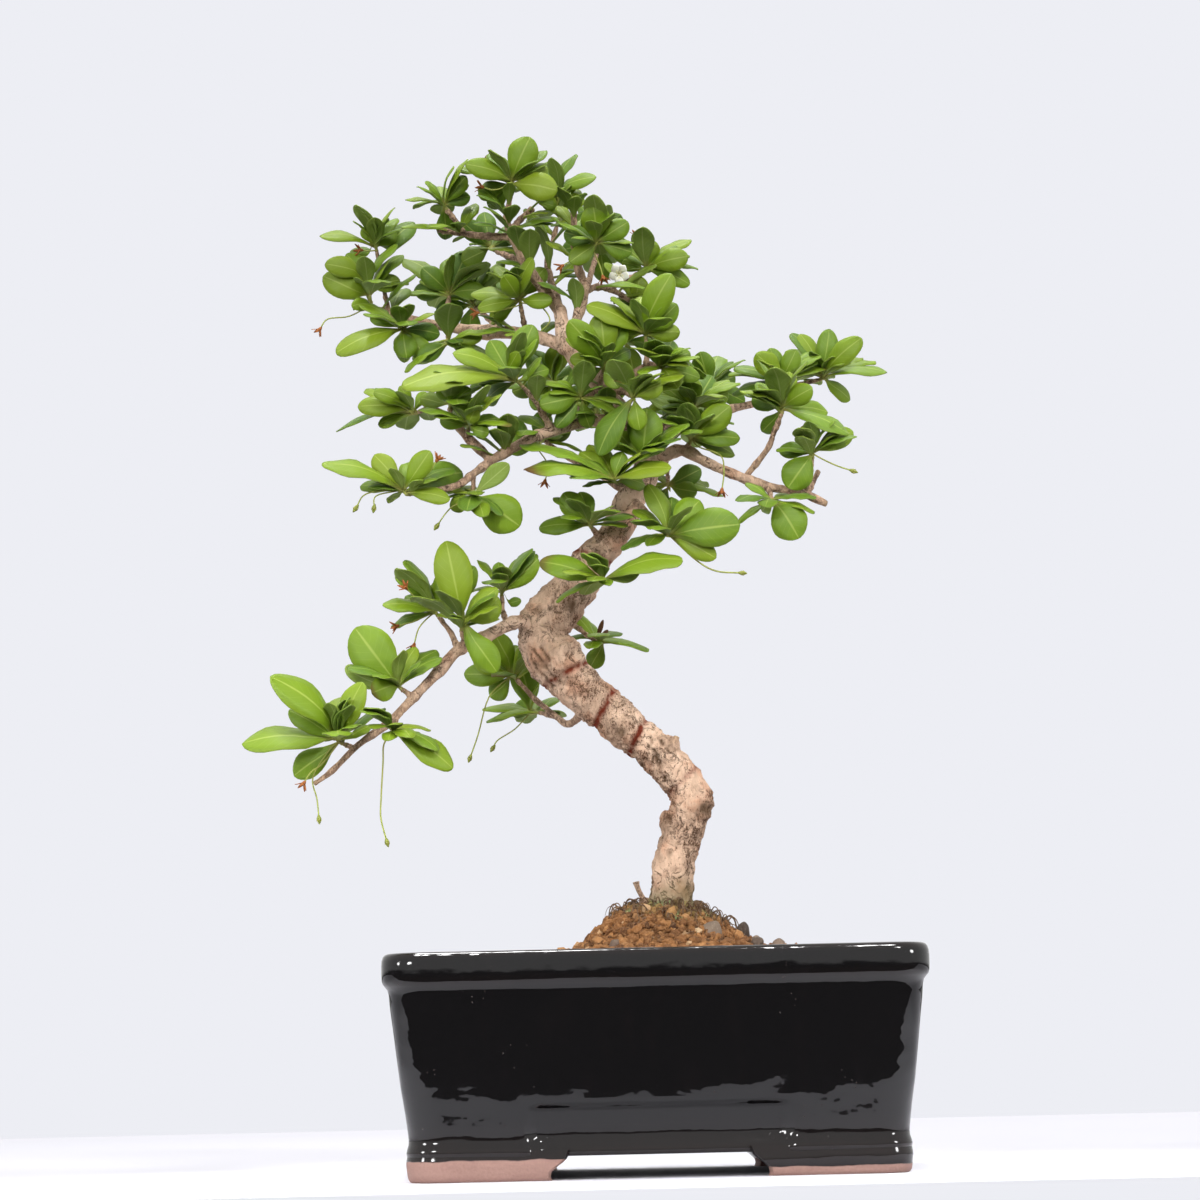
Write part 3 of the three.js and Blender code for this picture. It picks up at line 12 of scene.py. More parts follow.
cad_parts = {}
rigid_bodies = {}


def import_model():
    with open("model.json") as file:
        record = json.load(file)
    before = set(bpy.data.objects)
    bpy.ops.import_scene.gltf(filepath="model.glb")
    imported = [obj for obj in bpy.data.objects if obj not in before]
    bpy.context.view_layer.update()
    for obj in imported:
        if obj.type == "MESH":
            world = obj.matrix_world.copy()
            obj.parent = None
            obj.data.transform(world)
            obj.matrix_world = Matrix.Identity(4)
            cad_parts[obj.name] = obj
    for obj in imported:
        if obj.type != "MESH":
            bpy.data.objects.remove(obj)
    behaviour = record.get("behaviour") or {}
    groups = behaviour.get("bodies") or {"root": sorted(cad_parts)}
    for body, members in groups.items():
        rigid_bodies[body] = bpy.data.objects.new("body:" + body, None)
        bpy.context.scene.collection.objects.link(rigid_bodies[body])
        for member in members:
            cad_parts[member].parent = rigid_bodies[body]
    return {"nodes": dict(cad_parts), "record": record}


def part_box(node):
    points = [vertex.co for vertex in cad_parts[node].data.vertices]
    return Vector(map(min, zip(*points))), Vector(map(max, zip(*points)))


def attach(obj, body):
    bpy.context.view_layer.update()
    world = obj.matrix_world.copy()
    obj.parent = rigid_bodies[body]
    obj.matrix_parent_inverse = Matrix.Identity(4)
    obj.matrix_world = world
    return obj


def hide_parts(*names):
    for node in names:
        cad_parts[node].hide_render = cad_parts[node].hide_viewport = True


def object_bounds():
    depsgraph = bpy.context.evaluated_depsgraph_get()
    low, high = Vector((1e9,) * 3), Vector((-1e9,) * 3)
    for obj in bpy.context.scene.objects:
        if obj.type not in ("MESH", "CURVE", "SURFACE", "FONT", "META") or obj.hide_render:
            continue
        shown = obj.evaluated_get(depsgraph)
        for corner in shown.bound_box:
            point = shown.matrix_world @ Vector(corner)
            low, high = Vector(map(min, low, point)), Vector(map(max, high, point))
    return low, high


bl_info = {
    "name": "Fukien tea bonsai",
    "version": (1, 0, 0),
    "blender": (4, 5, 0),
    "location": "3D View > Sidebar > Bonsai",
    "description": "Dresses the packed bonsai with leaves, bark, soil and glaze, and sets up its studio",
    "category": "Object",
}

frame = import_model()
FRAME_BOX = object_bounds()

# The pot's middle on the table, in metres, and the whole numbers below in millimetres
POT_LOW, POT_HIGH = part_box("pot")
MIDDLE = np.array([(POT_LOW.x + POT_HIGH.x) / 2, (POT_LOW.y + POT_HIGH.y) / 2, 0.0])
MM = 0.001

# Viewpoint of the picture frame of 1200 by 1200 that the tree's places are given on
IMAGE = 1200
FOCAL = 3300
PITCH = radians(8.09)
ROLL = radians(1.3)
EYE = (-17.8, -1322.5, 41)

# Tree: each branch is a run of points (x, y, depth behind the pot's middle, thickness)


def table_rows(table):
    """The rows of a table, which end with a semicolon, each split into its parts at the colons."""
    return [[part.strip() for part in row.split(":")] for row in table.split(";")[:-1]]


def points_in(run):
    return [tuple(map(float, point.split())) for point in run.split(",")]


def leaves_in(run):
    leaves = [leaf.split() for leaf in run.split(",") if leaf]
    return [(*map(float, numbers), tone) for *numbers, tone in leaves]


# Tree: each branch with its run of points (x, y, depth behind the pot's middle, thickness)
BRANCHES = {name: points_in(run) for name, run in table_rows("""
trunk: 668 975 0 20, 670 935 0 19, 670 915 0 17.6, 672 890 0 16.8, 674 866 -1 16.6, 680 843 -1 16, 687 818 -2 16.4,
  692 797 -3 16.4, 674 772 -3 16, 656 752 -2 16, 633 734 -1 16.4, 613 716 0 16.8, 592 698 1 18, 572 680 2 19,
  554 660 3 21.5, 542 638 3 20, 544 619 3 18.5, 559 601 3 16.8, 574 583 3 16, 590 562 4 14.4, 609 542 5 13.2,
  622 519 5 12.4, 628 504 5 12, 640 485 5 12, 648 465 4 11, 640 440 3 9.6, 626 418 2 8.4, 600 385 0 7.4,
  568 348 -2 7.2, 560 310 -2 5.6;
spur: 666 762 -5 6, 673 746 -8 4.2, 677 736 -9 2.4;
lower_left: 545 630 0 5.2, 525 622 -5 5.2, 508 625 -9 5, 475 643 -16 4.8, 457 651 -20 4.6, 439 671 -24 4.2,
  414 697 -29 3.6, 386 725 -34 3, 358 745 -38 2.6, 332 771 -42 2.2, 314 784 -44 1.8;
lower_left_up: 458 651 -20 2.6, 452 635 -18 2.2, 439 617 -16 1.8;
lower_left_side: 463 648 -19 2.4, 464 640 -24 2, 462 631 -28 1.8;
lower_left_inner: 507 625 -9 2.6, 503 611 -10 2, 502 598 -10 1.8;
lower_left_middle: 413 698 -29 2.4, 403 690 -31 1.8;
lower_left_hanging: 404 707 -31 2.2, 397 719 -38 1.8, 394 727 -44 1.6;
lower_left_tip: 354 748 -38 2.2, 344 744 -40 1.8;
lower_left_stub: 484 640 -14 2.6, 485 653 -14 2;
behind_low: 592 702 3 3.8, 570 724 22 3, 555 716 36 2.6, 540 713 50 1.8;
behind_high: 558 718 34 2.4, 534 698 36 2, 518 681 37 1.6;
dry_twig: 561 614 5 3, 571 623 13 2.2, 582 631 19 2, 595 641 24 1.6;
knob: 606 544 4 4, 597 534 -2 2.8, 592 528 -8 1.8;
front_low: 597 556 2 3.4, 600 568 -12 2.4, 603 578 -25 1.8;
right_fork: 631 500 3 3.4, 641 506 -6 2.6, 649 516 -12 2.2, 664 532 -18 1.8;
right_low: 646 468 4 6, 659 459 2 5.6, 682 450 0 4.6, 706 462 -4 4.2, 740 477 -9 3.8, 769 487 -12 3.6,
  799 492 -14 3.2, 827 504 -16 2.6;
right_low_first: 684 451 0 2.4, 689 444 -4 1.8;
right_low_back: 664 457 2 2.6, 667 470 14 2, 668 481 20 1.6;
right_low_second: 744 478 -9 2.6, 766 451 -14 2.4, 774 432 -16 2.2, 781 415 -18 1.8;
right_low_under: 768 487 -12 2.4, 771 498 -16 1.8;
right_low_end: 805 494 -14 2.6, 809 480 -15 2.2, 812 460 -17 1.8;
right_low_stub: 808 493 -14 2.2, 818 472 -8 1.8;
right_high: 628 420 2 5.2, 642 423 7 4.2, 662 425 12 3.8, 700 418 18 3.4, 731 409 22 3.2, 756 403 24 3.2,
  773 395 25 3.2, 789 388 26 2.8, 806 383 27 2.2, 818 380 27 1.8;
right_high_up: 779 392 25 2.4, 781 385 20 1.8;
right_high_inner: 697 418 18 2.4, 695 411 11 1.8;
right_high_back: 672 424 13 2.8, 690 405 34 2.2, 705 392 46 1.8;
left_middle: 626 419 2 5.4, 606 420 -4 4.8, 590 421 -8 4.6, 553 431 -16 4.4, 533 437 -20 4.2, 508 451 -25 4,
  490 461 -28 4;
left_middle_upper: 491 460 -28 3.6, 469 439 -26 3.2, 450 418 -24 2.8, 431 408 -22 2.2, 419 412 -21 1.8;
left_middle_upper_twig: 450 418 -24 2.2, 450 409 -29 1.8;
left_middle_inner: 467 437 -26 2.2, 468 429 -33 1.8;
left_middle_lower: 491 461 -28 3.6, 473 474 -33 3, 458 485 -37 2.8, 430 492 -42 2.4, 412 494 -45 1.8;
left_middle_stub: 473 474 -33 2.2, 473 489 -34 1.8;
left_middle_front: 553 431 -16 3, 545 418 -20 2.6, 536 402 -25 2.2, 522 386 -30 1.8;
left_middle_thin: 632 497 4 3, 600 475 18 2.2, 573 461 30 2, 546 442 42 1.6;
left_middle_high: 590 421 -8 2.8, 572 405 14 2.2, 556 388 34 1.8;
left_high: 572 351 -2 6, 556 343 2 5.6, 530 335 8 5.4, 500 332 13 5.4, 477 332 17 6.2, 455 328 20 4.6, 431 324 24 4,
  400 316 28 3.2, 388 312 30 2.8, 377 309 31 1.8;
left_high_shoot: 389 312 30 2.2, 386 300 30 2, 381 275 30 1.8, 377 253 30 1.6;
left_high_under: 406 317 28 2.4, 403 326 20 1.8;
left_high_low: 448 327 21 2.4, 448 338 15 1.8;
left_high_back: 444 326 22 2.6, 447 309 36 2, 449 298 43 1.8;
left_high_inner: 500 332 13 2.8, 488 318 34 2.2, 476 308 52 1.8;
left_high_up: 526 335 9 2.6, 523 318 4 2, 521 307 1 1.8;
top_left: 560 312 -2 5, 540 285 -6 4.2, 526 265 -9 3.8, 514 240 -12 3.4, 507 222 -14 3, 509 204 -15 2.2,
  511 190 -16 1.8;
top_left_rough: 511 233 -12 2.8, 518 222 -9 2.6, 532 209 -5 2.4;
top_left_cut: 511 237 -12 3, 482 236 -11 2.8, 459 233 -10 2.4, 438 230 -9 2.2;
top_left_cut_up: 464 234 -10 2.4, 459 226 -12 2.2, 448 211 -14 1.8;
top_left_back: 524 262 -9 2.8, 508 256 14 2.2, 494 250 32 1.8;
top_middle: 560 312 -2 4, 552 285 8 3.2, 547 262 14 2.6, 553 240 18 2, 558 222 19 1.6;
top_right: 568 346 -2 4.8, 577 318 -4 4, 585 290 -6 3.6, 578 268 -7 3.2, 575 250 -8 3, 574 225 -8 2.6,
  573 197 -8 2.2;
top_right_twig: 578 266 -7 2.4, 588 255 -14 2, 594 247 -18 1.6;
top_right_side: 584 292 -6 3, 597 287 4 2.6, 612 290 14 2.4, 630 301 26 1.8;
top_right_far: 610 289 13 2.4, 625 280 20 2, 640 273 25 1.6;
top_right_back: 586 291 -6 2.8, 592 270 22 2.2, 598 250 46 1.8;
crown_right: 602 388 0 4, 616 391 -8 3.4, 630 378 -13 3, 648 365 -18 2.8, 657 367 -20 2.2;
crown_right_shoot: 646 366 -18 2.4, 647 352 -19 2, 646 341 -20 1.6;
crown_front: 610 400 0 3, 603 398 -9 2.6, 600 385 -15 2.2, 603 372 -20 1.8;
crown_left: 600 386 0 2.8, 591 394 -10 2.2, 584 397 -16 1.8;
crown_drooping: 616 391 -8 2.4, 626 393 -20 2, 631 396 -28 1.8;
crown_back: 596 380 0 3.2, 612 360 30 2.4, 622 345 48 1.8;
front_upright: 646 470 3 3, 644 467 -8 2.2, 642 463 -15 1.8;
front_middle: 638 487 4 3.2, 626 485 -10 2.4, 618 483 -20 1.8;
back_middle: 644 450 3 3.6, 628 440 30 2.8, 612 428 52 2.2, 600 418 66 1.8;
back_right: 646 462 4 3.4, 668 440 34 2.6, 684 428 58 1.8;
""")}

# Tones of the leaves: bright, middle, dark, underside and reddish dry; the dark tone, given to leaves that look dark
# and to those behind the crown, is partly their own colour and partly painted shade
B, M, D, U, R = "bmdur"
# Shoots: how many leaves fill them, the run of the stem, the leaves (base x, y, tip x, y, width seen, tone)
SHOOTS = {name: (int(fill), points_in(stem), leaves_in(leaves)) for name, fill, stem, leaves in table_rows("""
lower_left_tip: 2: 336 738 -41: 340 733 271 676 12 b, 335 740 289 710 9 m, 337 745 242 743 11 b,
  335 748 294 776 11 m, 343 738 362 682 10 b, 349 736 384 708 5 d, 347 741 371 726 4 m, 338 744 316 724 8 m;
lower_left_middle: 1: 397 684 -32: 400 687 355 628 18 m, 401 683 437 650 8 d, 396 687 345 668 8 u,
  398 683 372 693 10 b, 399 682 416 647 7 m;
lower_left_hanging: 1: 393 732 -47: 394 732 453 768 10.4 b;
lower_left_up: 2: 436 607 -15: 441 610 475 567 11 m, 437 607 450 570 10 m, 432 613 383 605 6 b, 433 615 391 626 5 d,
  435 607 414 583 8 m, 434 612 405 596 6 d, 440 612 460 600 7 d;
lower_left_side: 1: 463 619 -30: 464 625 499 598 13 m, 463 622 446 541 15 b, 465 620 497 588 8 b,
  461 628 484 661 7 d, 465 629 497 672 11 m;
lower_left_inner: 2: 503 591 -10: 504 592 538 559 9 b, 505 605 521 600 4 m, 502 590 498 562 6 m;
behind_low: 2: 529 714 57: 533 711 518 660 12 m, 531 714 514 706 9 m;
behind_high: 2: 510 675 38: 514 669 494 633 10 b, 511 675 464 674 10 m, 511 680 490 697 9 m, 514 672 516 645 10 m,
  508 672 474 655 10 b;
dry_twig: 1: 606 640 30: 597 640 603 620 2 r, 599 640 608 630 2 r, 604 644 590 668 8 m;
knob: 1: 589 524 -13: 588 522 563 493 10 m, 587 527 539 528 8 m, 591 522 580 492 8 m;
front_low: 1: 604 581 -32: 601 580 540 561 10.5 m, 606 580 682 558 9 b, 602 575 590 553 6 d, 606 578 640 570 7 u;
right_fork: 1: 670 536 -22: 671 534 740 524 16 m, 669 532 648 484 9 d, 673 536 716 558 9 m, 670 531 672 497 8 d,
  672 532 700 500 12 m;
right_low_first: 2: 692 437 -8: 693 437 730 406 11 b, 694 441 740 438 8 m, 691 436 682 410 8 d, 693 440 735 455 7 d;
right_low_back: 2: 669 487 23: 670 486 701 469 9 d, 671 488 697 492 8 m, 667 488 655 510 8 d;
right_low_second: 2: 783 406 -19: 782 412 849 434 8 m, 785 405 812 388 9 b, 784 408 828 412 8 m, 781 410 752 398 8 d,
  783 403 790 372 8 m, 781 413 762 432 7 d;
right_low_under: 0: 773 502 -19: 773 500 799 538 15 m, 772 499 762 512 6 m;
right_low_end: 1: 813 451 -19: 814 452 853 431 9 b, 812 454 788 488 13 m, 812 450 804 425 8 m, 811 452 779 450 7 d;
right_high: 2: 824 375 26: 823 375 861 338 10 b, 826 375 887 372 6 m, 822 372 829 329 9 m, 821 375 800 334 8 m,
  824 372 845 345 7 d, 820 377 785 352 9 m, 821 380 850 400 7 m;
right_high_up: 1: 782 378 15: 781 381 756 354 10 b, 783 378 796 350 8 m, 779 383 734 368 6 d, 779 385 732 393 6 d,
  780 378 770 348 7 m;
right_high_inner: 1: 693 405 5: 694 406 688 377 10 m, 693 411 648 399 6 u, 696 406 728 392 9 m, 695 405 712 376 10 d,
  692 408 664 386 8 m;
right_high_back: 2: 711 387 52: 711 386 735 376 9 d, 710 385 700 352 10 m, 713 389 745 402 8 d, 708 385 678 372 9 d;
left_middle_upper: 1: 408 409 -22: 408 407 358 406 9 m, 404 404 374 392 6 b, 404 412 336 430 4.5 d,
  411 405 400 386 5 b, 415 408 426 392 5 m, 407 413 378 425 6 m;
left_middle_upper_twig: 1: 450 403 -33: 449 404 444 384 8 m, 451 404 470 388 7 m, 448 406 420 398 7 d,
  452 406 482 410 6 m;
left_middle_inner: 0: 469 424 -38: 470 427 499 418 6 d, 468 426 476 408 6 m, 470 429 489 433 6 m,
  466 427 440 420 6 m;
left_middle_lower: 0: 402 490 -47: 397 486 322 464 8 b, 400 485 374 455 9 b, 406 487 430 451 9 b,
  410 490 463 472 14 d, 408 494 450 499 7 m, 399 490 360 486 6 m, 404 486 412 462 8 m;
left_middle_stub: 0: 474 497 -35: 475 496 520 526 16 m, 476 492 509 464 8 u, 472 496 450 508 7 m;
left_middle_front: 1: 512 379 -33: 506 378 402 386 13 b, 503 373 453 353 8 b, 512 372 533 325 11 m,
  507 372 518 352 6 b, 505 381 470 386 6 d, 504 373 457 368 6 m, 518 380 549 369 7 m, 510 382 486 402 8 d,
  509 373 490 340 9 m;
left_middle_thin: 2: 536 447 46: 532 449 500 418 12 d, 538 444 545 410 9 d, 534 448 505 445 9 m, 540 444 570 425 9 d;
left_middle_high: 2: 550 380 40: 549 378 530 352 10 d, 551 377 560 345 10 m, 547 381 512 392 9 d,
  553 380 585 372 9 d, 548 383 535 410 9 m;
left_high: 1: 370 298 27, 366 280 24: 366 275 325 264 9 m, 370 298 323 276 12 m, 372 301 333 287 8 d,
  373 304 352 306 6 b, 367 277 346 254 8 m, 368 288 400 280 8 d;
left_high_shoot: 0: 373 245 29: 370 244 320 235 6 b, 371 244 365 226 6 b, 375 246 394 228 10 m, 379 262 414 222 10 d,
  377 255 350 252 5 m;
left_high_under: 0: 402 331 14: 401 330 336 352 11 b, 403 330 407 358 10 m, 405 331 431 361 9 m, 401 327 370 318 6 m,
  405 329 440 334 8 d;
left_high_low: 2: 449 344 10: 447 344 418 358 8 d, 451 344 474 352 7 d, 450 342 482 336 7 m;
left_high_back: 2: 450 291 47: 448 292 422 268 9 d, 452 290 468 251 11 d, 449 293 414 290 9 d, 451 288 448 258 8 d,
  447 294 405 258 9 d, 453 293 484 290 8 m;
left_high_inner: 2: 471 303 58: 470 302 452 276 10 d, 473 301 490 272 9 d, 469 305 436 312 9 d, 472 306 470 336 9 d;
left_high_up: 1: 519 297 -2: 518 298 504 276 8 b, 521 298 532 258 6 b, 522 299 545 268 9 m, 517 297 500 239 12 d,
  515 300 471 294 7 m, 517 303 490 318 8 m, 522 302 552 300 7 b, 516 302 478 308 7 b;
top_left: 0: 511 180 -17: 509 178 466 164 9 b, 508 182 457 168 6 m, 513 185 557 190 12 b, 512 179 530 137 12.5 b,
  514 181 548 168 8 m, 508 184 478 196 8 m, 509 184 489 208 8 m;
top_left_cut_up: 1: 443 203 -15: 442 203 426 181 3 m, 445 204 470 196 7 d, 444 206 446 240 8 d, 445 203 466 176 7 m;
top_left_back: 2: 489 247 38: 487 246 462 222 9 d, 489 249 462 262 9 d, 490 245 484 212 9 d, 491 247 521 230 9 d;
top_middle: 2: 559 205 19, 557 192 18: 557 190 596 177 7 m, 556 188 576 154 5 d, 559 195 585 203 6 m,
  559 208 542 203 5 m, 557 192 548 162 7 d;
top_right_twig: 1: 598 240 -20: 597 240 593 206 12 m, 596 243 564 232 9 d, 600 241 628 222 9 m, 600 244 632 252 9 m,
  596 245 570 262 8 d;
top_right_side: 2: 636 307 30: 637 305 670 296 8 d, 637 308 672 318 8 m, 634 309 622 338 9 d, 635 304 640 276 9 m;
top_right_far: 2: 649 267 28: 650 266 688 256 10 m, 648 265 652 240 8 m, 646 265 624 248 8 d, 650 270 690 284 8 m,
  645 268 622 262 7 m;
top_right_back: 2: 600 244 52: 599 242 585 218 9 d, 602 242 620 214 9 d, 598 246 562 250 9 d, 603 246 640 262 9 d,
  600 248 604 282 9 d;
crown_right_shoot: 2: 644 333 -21: 643 332 671 274 12 b, 640 333 587 305 9 b, 647 335 677 304 9 m,
  647 334 680 332 8 m, 645 339 676 347 6 d, 641 336 605 332 8 m, 643 331 640 296 9 m;
crown_right: 1: 663 367 -22: 662 366 678 388 10 m, 664 366 690 352 8 m, 663 364 672 340 8 d, 664 368 700 378 7 m;
crown_front: 0: 604 363 -23: 603 361 569 321 11 m, 606 360 600 313 12 m, 602 363 570 359 7 m, 602 367 574 384 7 d,
  607 363 630 350 7 d, 605 367 618 388 7 d, 606 360 624 322 9 m;
crown_left: 1: 579 399 -20: 578 397 540 405 10 m, 579 402 556 427 7 d, 578 396 552 385 7 m, 580 402 590 428 7 d;
crown_drooping: 1: 634 399 -33: 632 399 598 455 11 d, 636 397 662 384 8 m, 635 402 640 430 8 m;
crown_back: 2: 626 338 54: 625 337 610 308 10 d, 628 336 648 312 9 d, 624 340 588 346 9 d, 629 339 665 350 9 d,
  626 342 634 374 9 d;
front_upright: 0: 642 458 -21: 642 460 647 408 14.4 m, 644 458 668 432 8 d, 640 459 618 432 8 m;
front_middle: 1: 613 480 -26: 612 480 524 469 8 b, 608 476 520 444 6 m, 616 480 671 467 8 b, 613 476 623 452 7 m,
  610 477 580 452 8 m, 614 478 645 485 7 m;
back_middle: 2: 594 412 72: 593 410 570 388 10 d, 596 409 612 380 9 d, 592 414 556 422 9 d, 597 413 634 418 9 d;
back_right: 2: 690 423 65: 690 421 680 392 9 d, 693 421 722 404 9 d, 694 425 728 434 9 d, 688 425 656 436 9 d;
""")}
TWISTS = {"lower_left_tip": 0.3, "lower_left_middle": 0.6, "left_middle_upper": 0.3, "left_middle_inner": 1.5,
    "crown_right_shoot": 0.3}
# Flower stalks that the solids have too
SOLID_STALKS = {
    "lower_left_hanging": [
        [(392, 731, -47), (384, 744, -48), (383, 763, -48), (381, 800, -48), (381, 819, -48), (387, 842, -48)]],
    "right_fork": [[(673, 538, -23), (696, 560, -24), (716, 571, -24), (742, 573, -24)]],
}

# Flower: the run of its cup and stalk
FLOWER = [(619, 274, 6, 2.6), (619, 274, 7.6, 2.6), (619, 274, 9, 1.4), (619, 280, 13.4, 1.1),
    (619, 282.4, 15.3, 1.1)]

# Thin stalks that only the dressed shoots have: the shoot, their run and what they end in
STALKS = [(name, points_in(run), end) for name, run, end in table_rows("""
lower_left_tip: 330 749 -42, 313 777 -45, 317 799 -45, 319 819 -45: bud;
lower_left_up: 434 610 -15, 418 600 -28, 406 588 -34: calyx;
lower_left_up: 433 613 -15, 412 622 -19, 397 626 -20: calyx;
behind_low: 529 714 57, 515 729 58, 498 740 58, 493 748 58: bud;
behind_high: 508 678 38, 489 697 39, 478 735 39, 470 758 39: bud;
right_low_first: 699 447 -9, 720 455 -13, 724 470 -16, 722 490 -17: calyx;
right_low_end: 815 455 -20, 835 465 -21, 853 471 -21: bud;
left_middle_lower: 397 491 -47, 376 496 -49, 374 508 -49: bud;
left_middle_lower: 396 489 -47, 366 494 -50, 356 508 -50: bud;
left_middle_stub: 474 497 -36, 455 505 -38, 446 513 -38, 437 526 -38: bud;
left_middle_thin: 536 447 46, 548 465 45, 545 481 44: calyx;
left_high: 371 304 28, 350 316 24, 328 319 24, 320 329 24: calyx;
left_high_shoot: 377 250 30, 369 251 27, 361 250 25: calyx;
left_high_up: 520 305 -2, 497 311 -6, 477 313 -8: calyx;
left_middle_lower: 414 488 -46, 428 474 -50, 437 460 -51: calyx;
top_right_twig: 594 250 -18, 576 258 -21, 562 266 -22: calyx;
top_right_twig: 594 252 -18, 600 266 -21, 603 277 -22: calyx;
lower_left_up: 430 616 -15, 419 628 -22, 414 645 -24: calyx;
lower_left_tip: 322 764 -44, 311 772 -48, 304 783 -49: calyx;
left_high_up: 523 303 -3, 540 306 -6, 550 320 -7, 541 331 -7: tendril;
top_left: 508 183 -18, 498 177 -20, 490 172 -20: flower_bud;
top_left: 508 186 -18, 494 190 -22, 482 187 -22: calyx;
top_right_far: 647 265 27, 640 250 25, 637 236 25: calyx;
""")]

# The solids' rule for shoots and blades, in millimetres
BLADE_ARCH = 0.1
BLADE_CUP = 0.16
BLADE_RATIO = 0.46
BLADE_GAP = 1.5
NEIGHBOUR_GAP = 1.1
SAMPLE_STEP = 1.5
LAYER_GAP = 1.3
SHOOT_RADIUS = 0.8
SHOOT_TIP_RADIUS = 0.6
SHOOT_FREE = 1.8
CLEARANCE = 0.3
STALK_RADIUS = 0.36
LEAF_SIZE = 23
LEANS = (0, 2.5, -2.5, 5, -5, 8, -8, 11, -11, 14, -14, 18, -18)
TONE_ORDER = B + U + R + M + D
UP = np.array([0, 0, 1.0])
# Further leaves of the dressed tree: how many on each shoot, their gaps, and how far from the middle they may reach
EXTRA_LEAVES = 8
EXTRA_GAPS = (0.2, 0.3)
LEAF_REACH = (126, 80, 416)
# Branches of the crown that carry leaves on their own wood, and how many
LEAVES_ON_WOOD = {"top_left": 12, "top_left_cut": 6, "top_middle": 9, "top_right": 12, "left_high": 14,
    "top_left_rough": 4, "left_middle": 8, "left_middle_front": 4, "crown_back": 4, "crown_right": 5,
    "left_middle_high": 6, "top_right_side": 4, "back_middle": 5, "right_high": 8, "left_high_inner": 4}
WOOD_LEAF_SIZE = 20
WORD = 0xFFFFFFFF


def colour(code):
    """Linear red, green and blue of a six-figure screen colour."""
    parts = [int(code[i:i + 2], 16) / 255 for i in (0, 2, 4)]
    return tuple(part / 12.92 if part <= 0.04045 else ((part + 0.055) / 1.055) ** 2.4 for part in parts)


def seeded(seed):
    """A run of numbers from 0 to 1 that is the same each time."""
    state = seed & WORD

    def draw():
        nonlocal state
        state = (state + 0x6D2B79F5) & WORD
        mixed = ((state ^ (state >> 15)) * (state | 1)) & WORD
        mixed ^= (mixed + (((mixed ^ (mixed >> 7)) * (mixed | 61)) & WORD)) & WORD
        return ((mixed ^ (mixed >> 14)) & WORD) / 2 ** 32

    return draw


def between(draw, low, high):
    return low + (high - low) * draw()


def any_turn(draw):
    return between(draw, 0, 2 * pi)


def smooth(low, high, value):
    share = np.clip((value - low) / (high - low), 0, 1)
    return share * share * (3 - 2 * share)


def unit(vector):
    return vector / norm(vector)


def seen(x, y, depth):
    """The place in millimetres from the pot's middle that shows at x, y of the picture, at that depth."""
    across = x - IMAGE / 2
    above = IMAGE / 2 - y
    level = (across * cos(ROLL) + above * sin(ROLL)) / FOCAL
    rise = (above * cos(ROLL) - across * sin(ROLL)) / FOCAL
    forward = cos(PITCH) - rise * sin(PITCH)
    upward = sin(PITCH) + rise * cos(PITCH)
    reach = (depth - EYE[1]) / forward
    return np.array([EYE[0] + level * reach, depth, EYE[2] + upward * reach])


def places_of(run):
    return [(seen(x, y, depth), thick / 2) for x, y, depth, thick in run]


# Layout of the shoots: the same seeded rule as the solids, so each fine leaf lies where its solid does
def turns_of(sides):
    return 2 * np.pi * np.arange(sides) / sides


def ring_round(side, across, turns):
    return np.outer(np.cos(turns), side) + np.outer(np.sin(turns), across)


def tube_rings(places, sides, leave=None, twist=0.0):
    side = None
    rings = []
    turns = turns_of(sides) + twist
    for row, (point, radius) in enumerate(places):
        before = places[max(row - 1, 0)][0]
        after = places[min(row + 1, len(places) - 1)][0]
        along = leave if row == 0 and leave is not None else unit(after - before)
        if side is None:
            side = np.array([1.0, 0, 0]) if abs(along[1]) > 0.8 else np.array([0, 1.0, 0])
        side = unit(side - along * side.dot(along))
        rings.append(point + radius * ring_round(side, np.cross(along, side), turns))
    return rings


def even_shares(length):
    steps = max(1, ceil(length / SAMPLE_STEP))
    return np.arange(steps + 1) / steps


class Room:
    """Groups of points placed so far, so that the blades keep clear of each other and of the wood."""

    def __init__(self, most=7000):
        self.apart = (NEIGHBOUR_GAP, BLADE_GAP)
        self.groups = []
        self.balls = np.zeros((most, 4))
        self.owners = np.zeros(most, int)

    def keep(self, owner, points, reaches=0.0):
        reaches = np.broadcast_to(reaches, len(points))
        middle = (points.min(0) + points.max(0)) / 2
        radius = norm(points - middle, axis=1).max() + reaches.max()
        self.balls[len(self.groups)] = (*middle, radius)
        self.owners[len(self.groups)] = owner
        self.groups.append((points, reaches))

    def keep_tube(self, owner, places):
        for (start, start_radius), (end, end_radius) in zip(places, places[1:]):
            shares = even_shares(norm(end - start))
            reaches = start_radius + (end_radius - start_radius) * shares
            self.keep(owner, start + np.outer(shares, end - start), reaches)

    def blocked(self, owner, samples):
        middle = samples[len(samples) // 2]
        radius = norm(samples - middle, axis=1).max()
        count = len(self.groups)
        gaps = np.where(self.owners[:count] == owner, *self.apart)
        balls = self.balls[:count]
        near = norm(balls[:, :3] - middle, axis=1) <= balls[:, 3] + radius + gaps
        for index in np.flatnonzero(near):
            points, reaches = self.groups[index]
            apart = ((samples[:, None] - points[None]) ** 2).sum(2)
            if (apart < (reaches + gaps[index]) ** 2).any():
                return True
        return False


def blade_half(blade, share):
    return blade.width / 2 * np.maximum(0.09, np.sin(np.pi * share ** 1.7).clip(0) ** 0.7)


def blade_point(blade, share, edge, half):
    """Points of a blade's middle surface; share runs from base to tip, edge from -1 to 1 across."""
    share, edge, half = (np.asarray(value, float)[..., None] for value in (share, edge, half))
    rise = BLADE_ARCH * blade.length * 4 * share * (1 - share) - BLADE_CUP * abs(edge) * half
    return (blade.base + (blade.tip - blade.base) * share + blade.side * edge * half
        + blade.normal * rise)


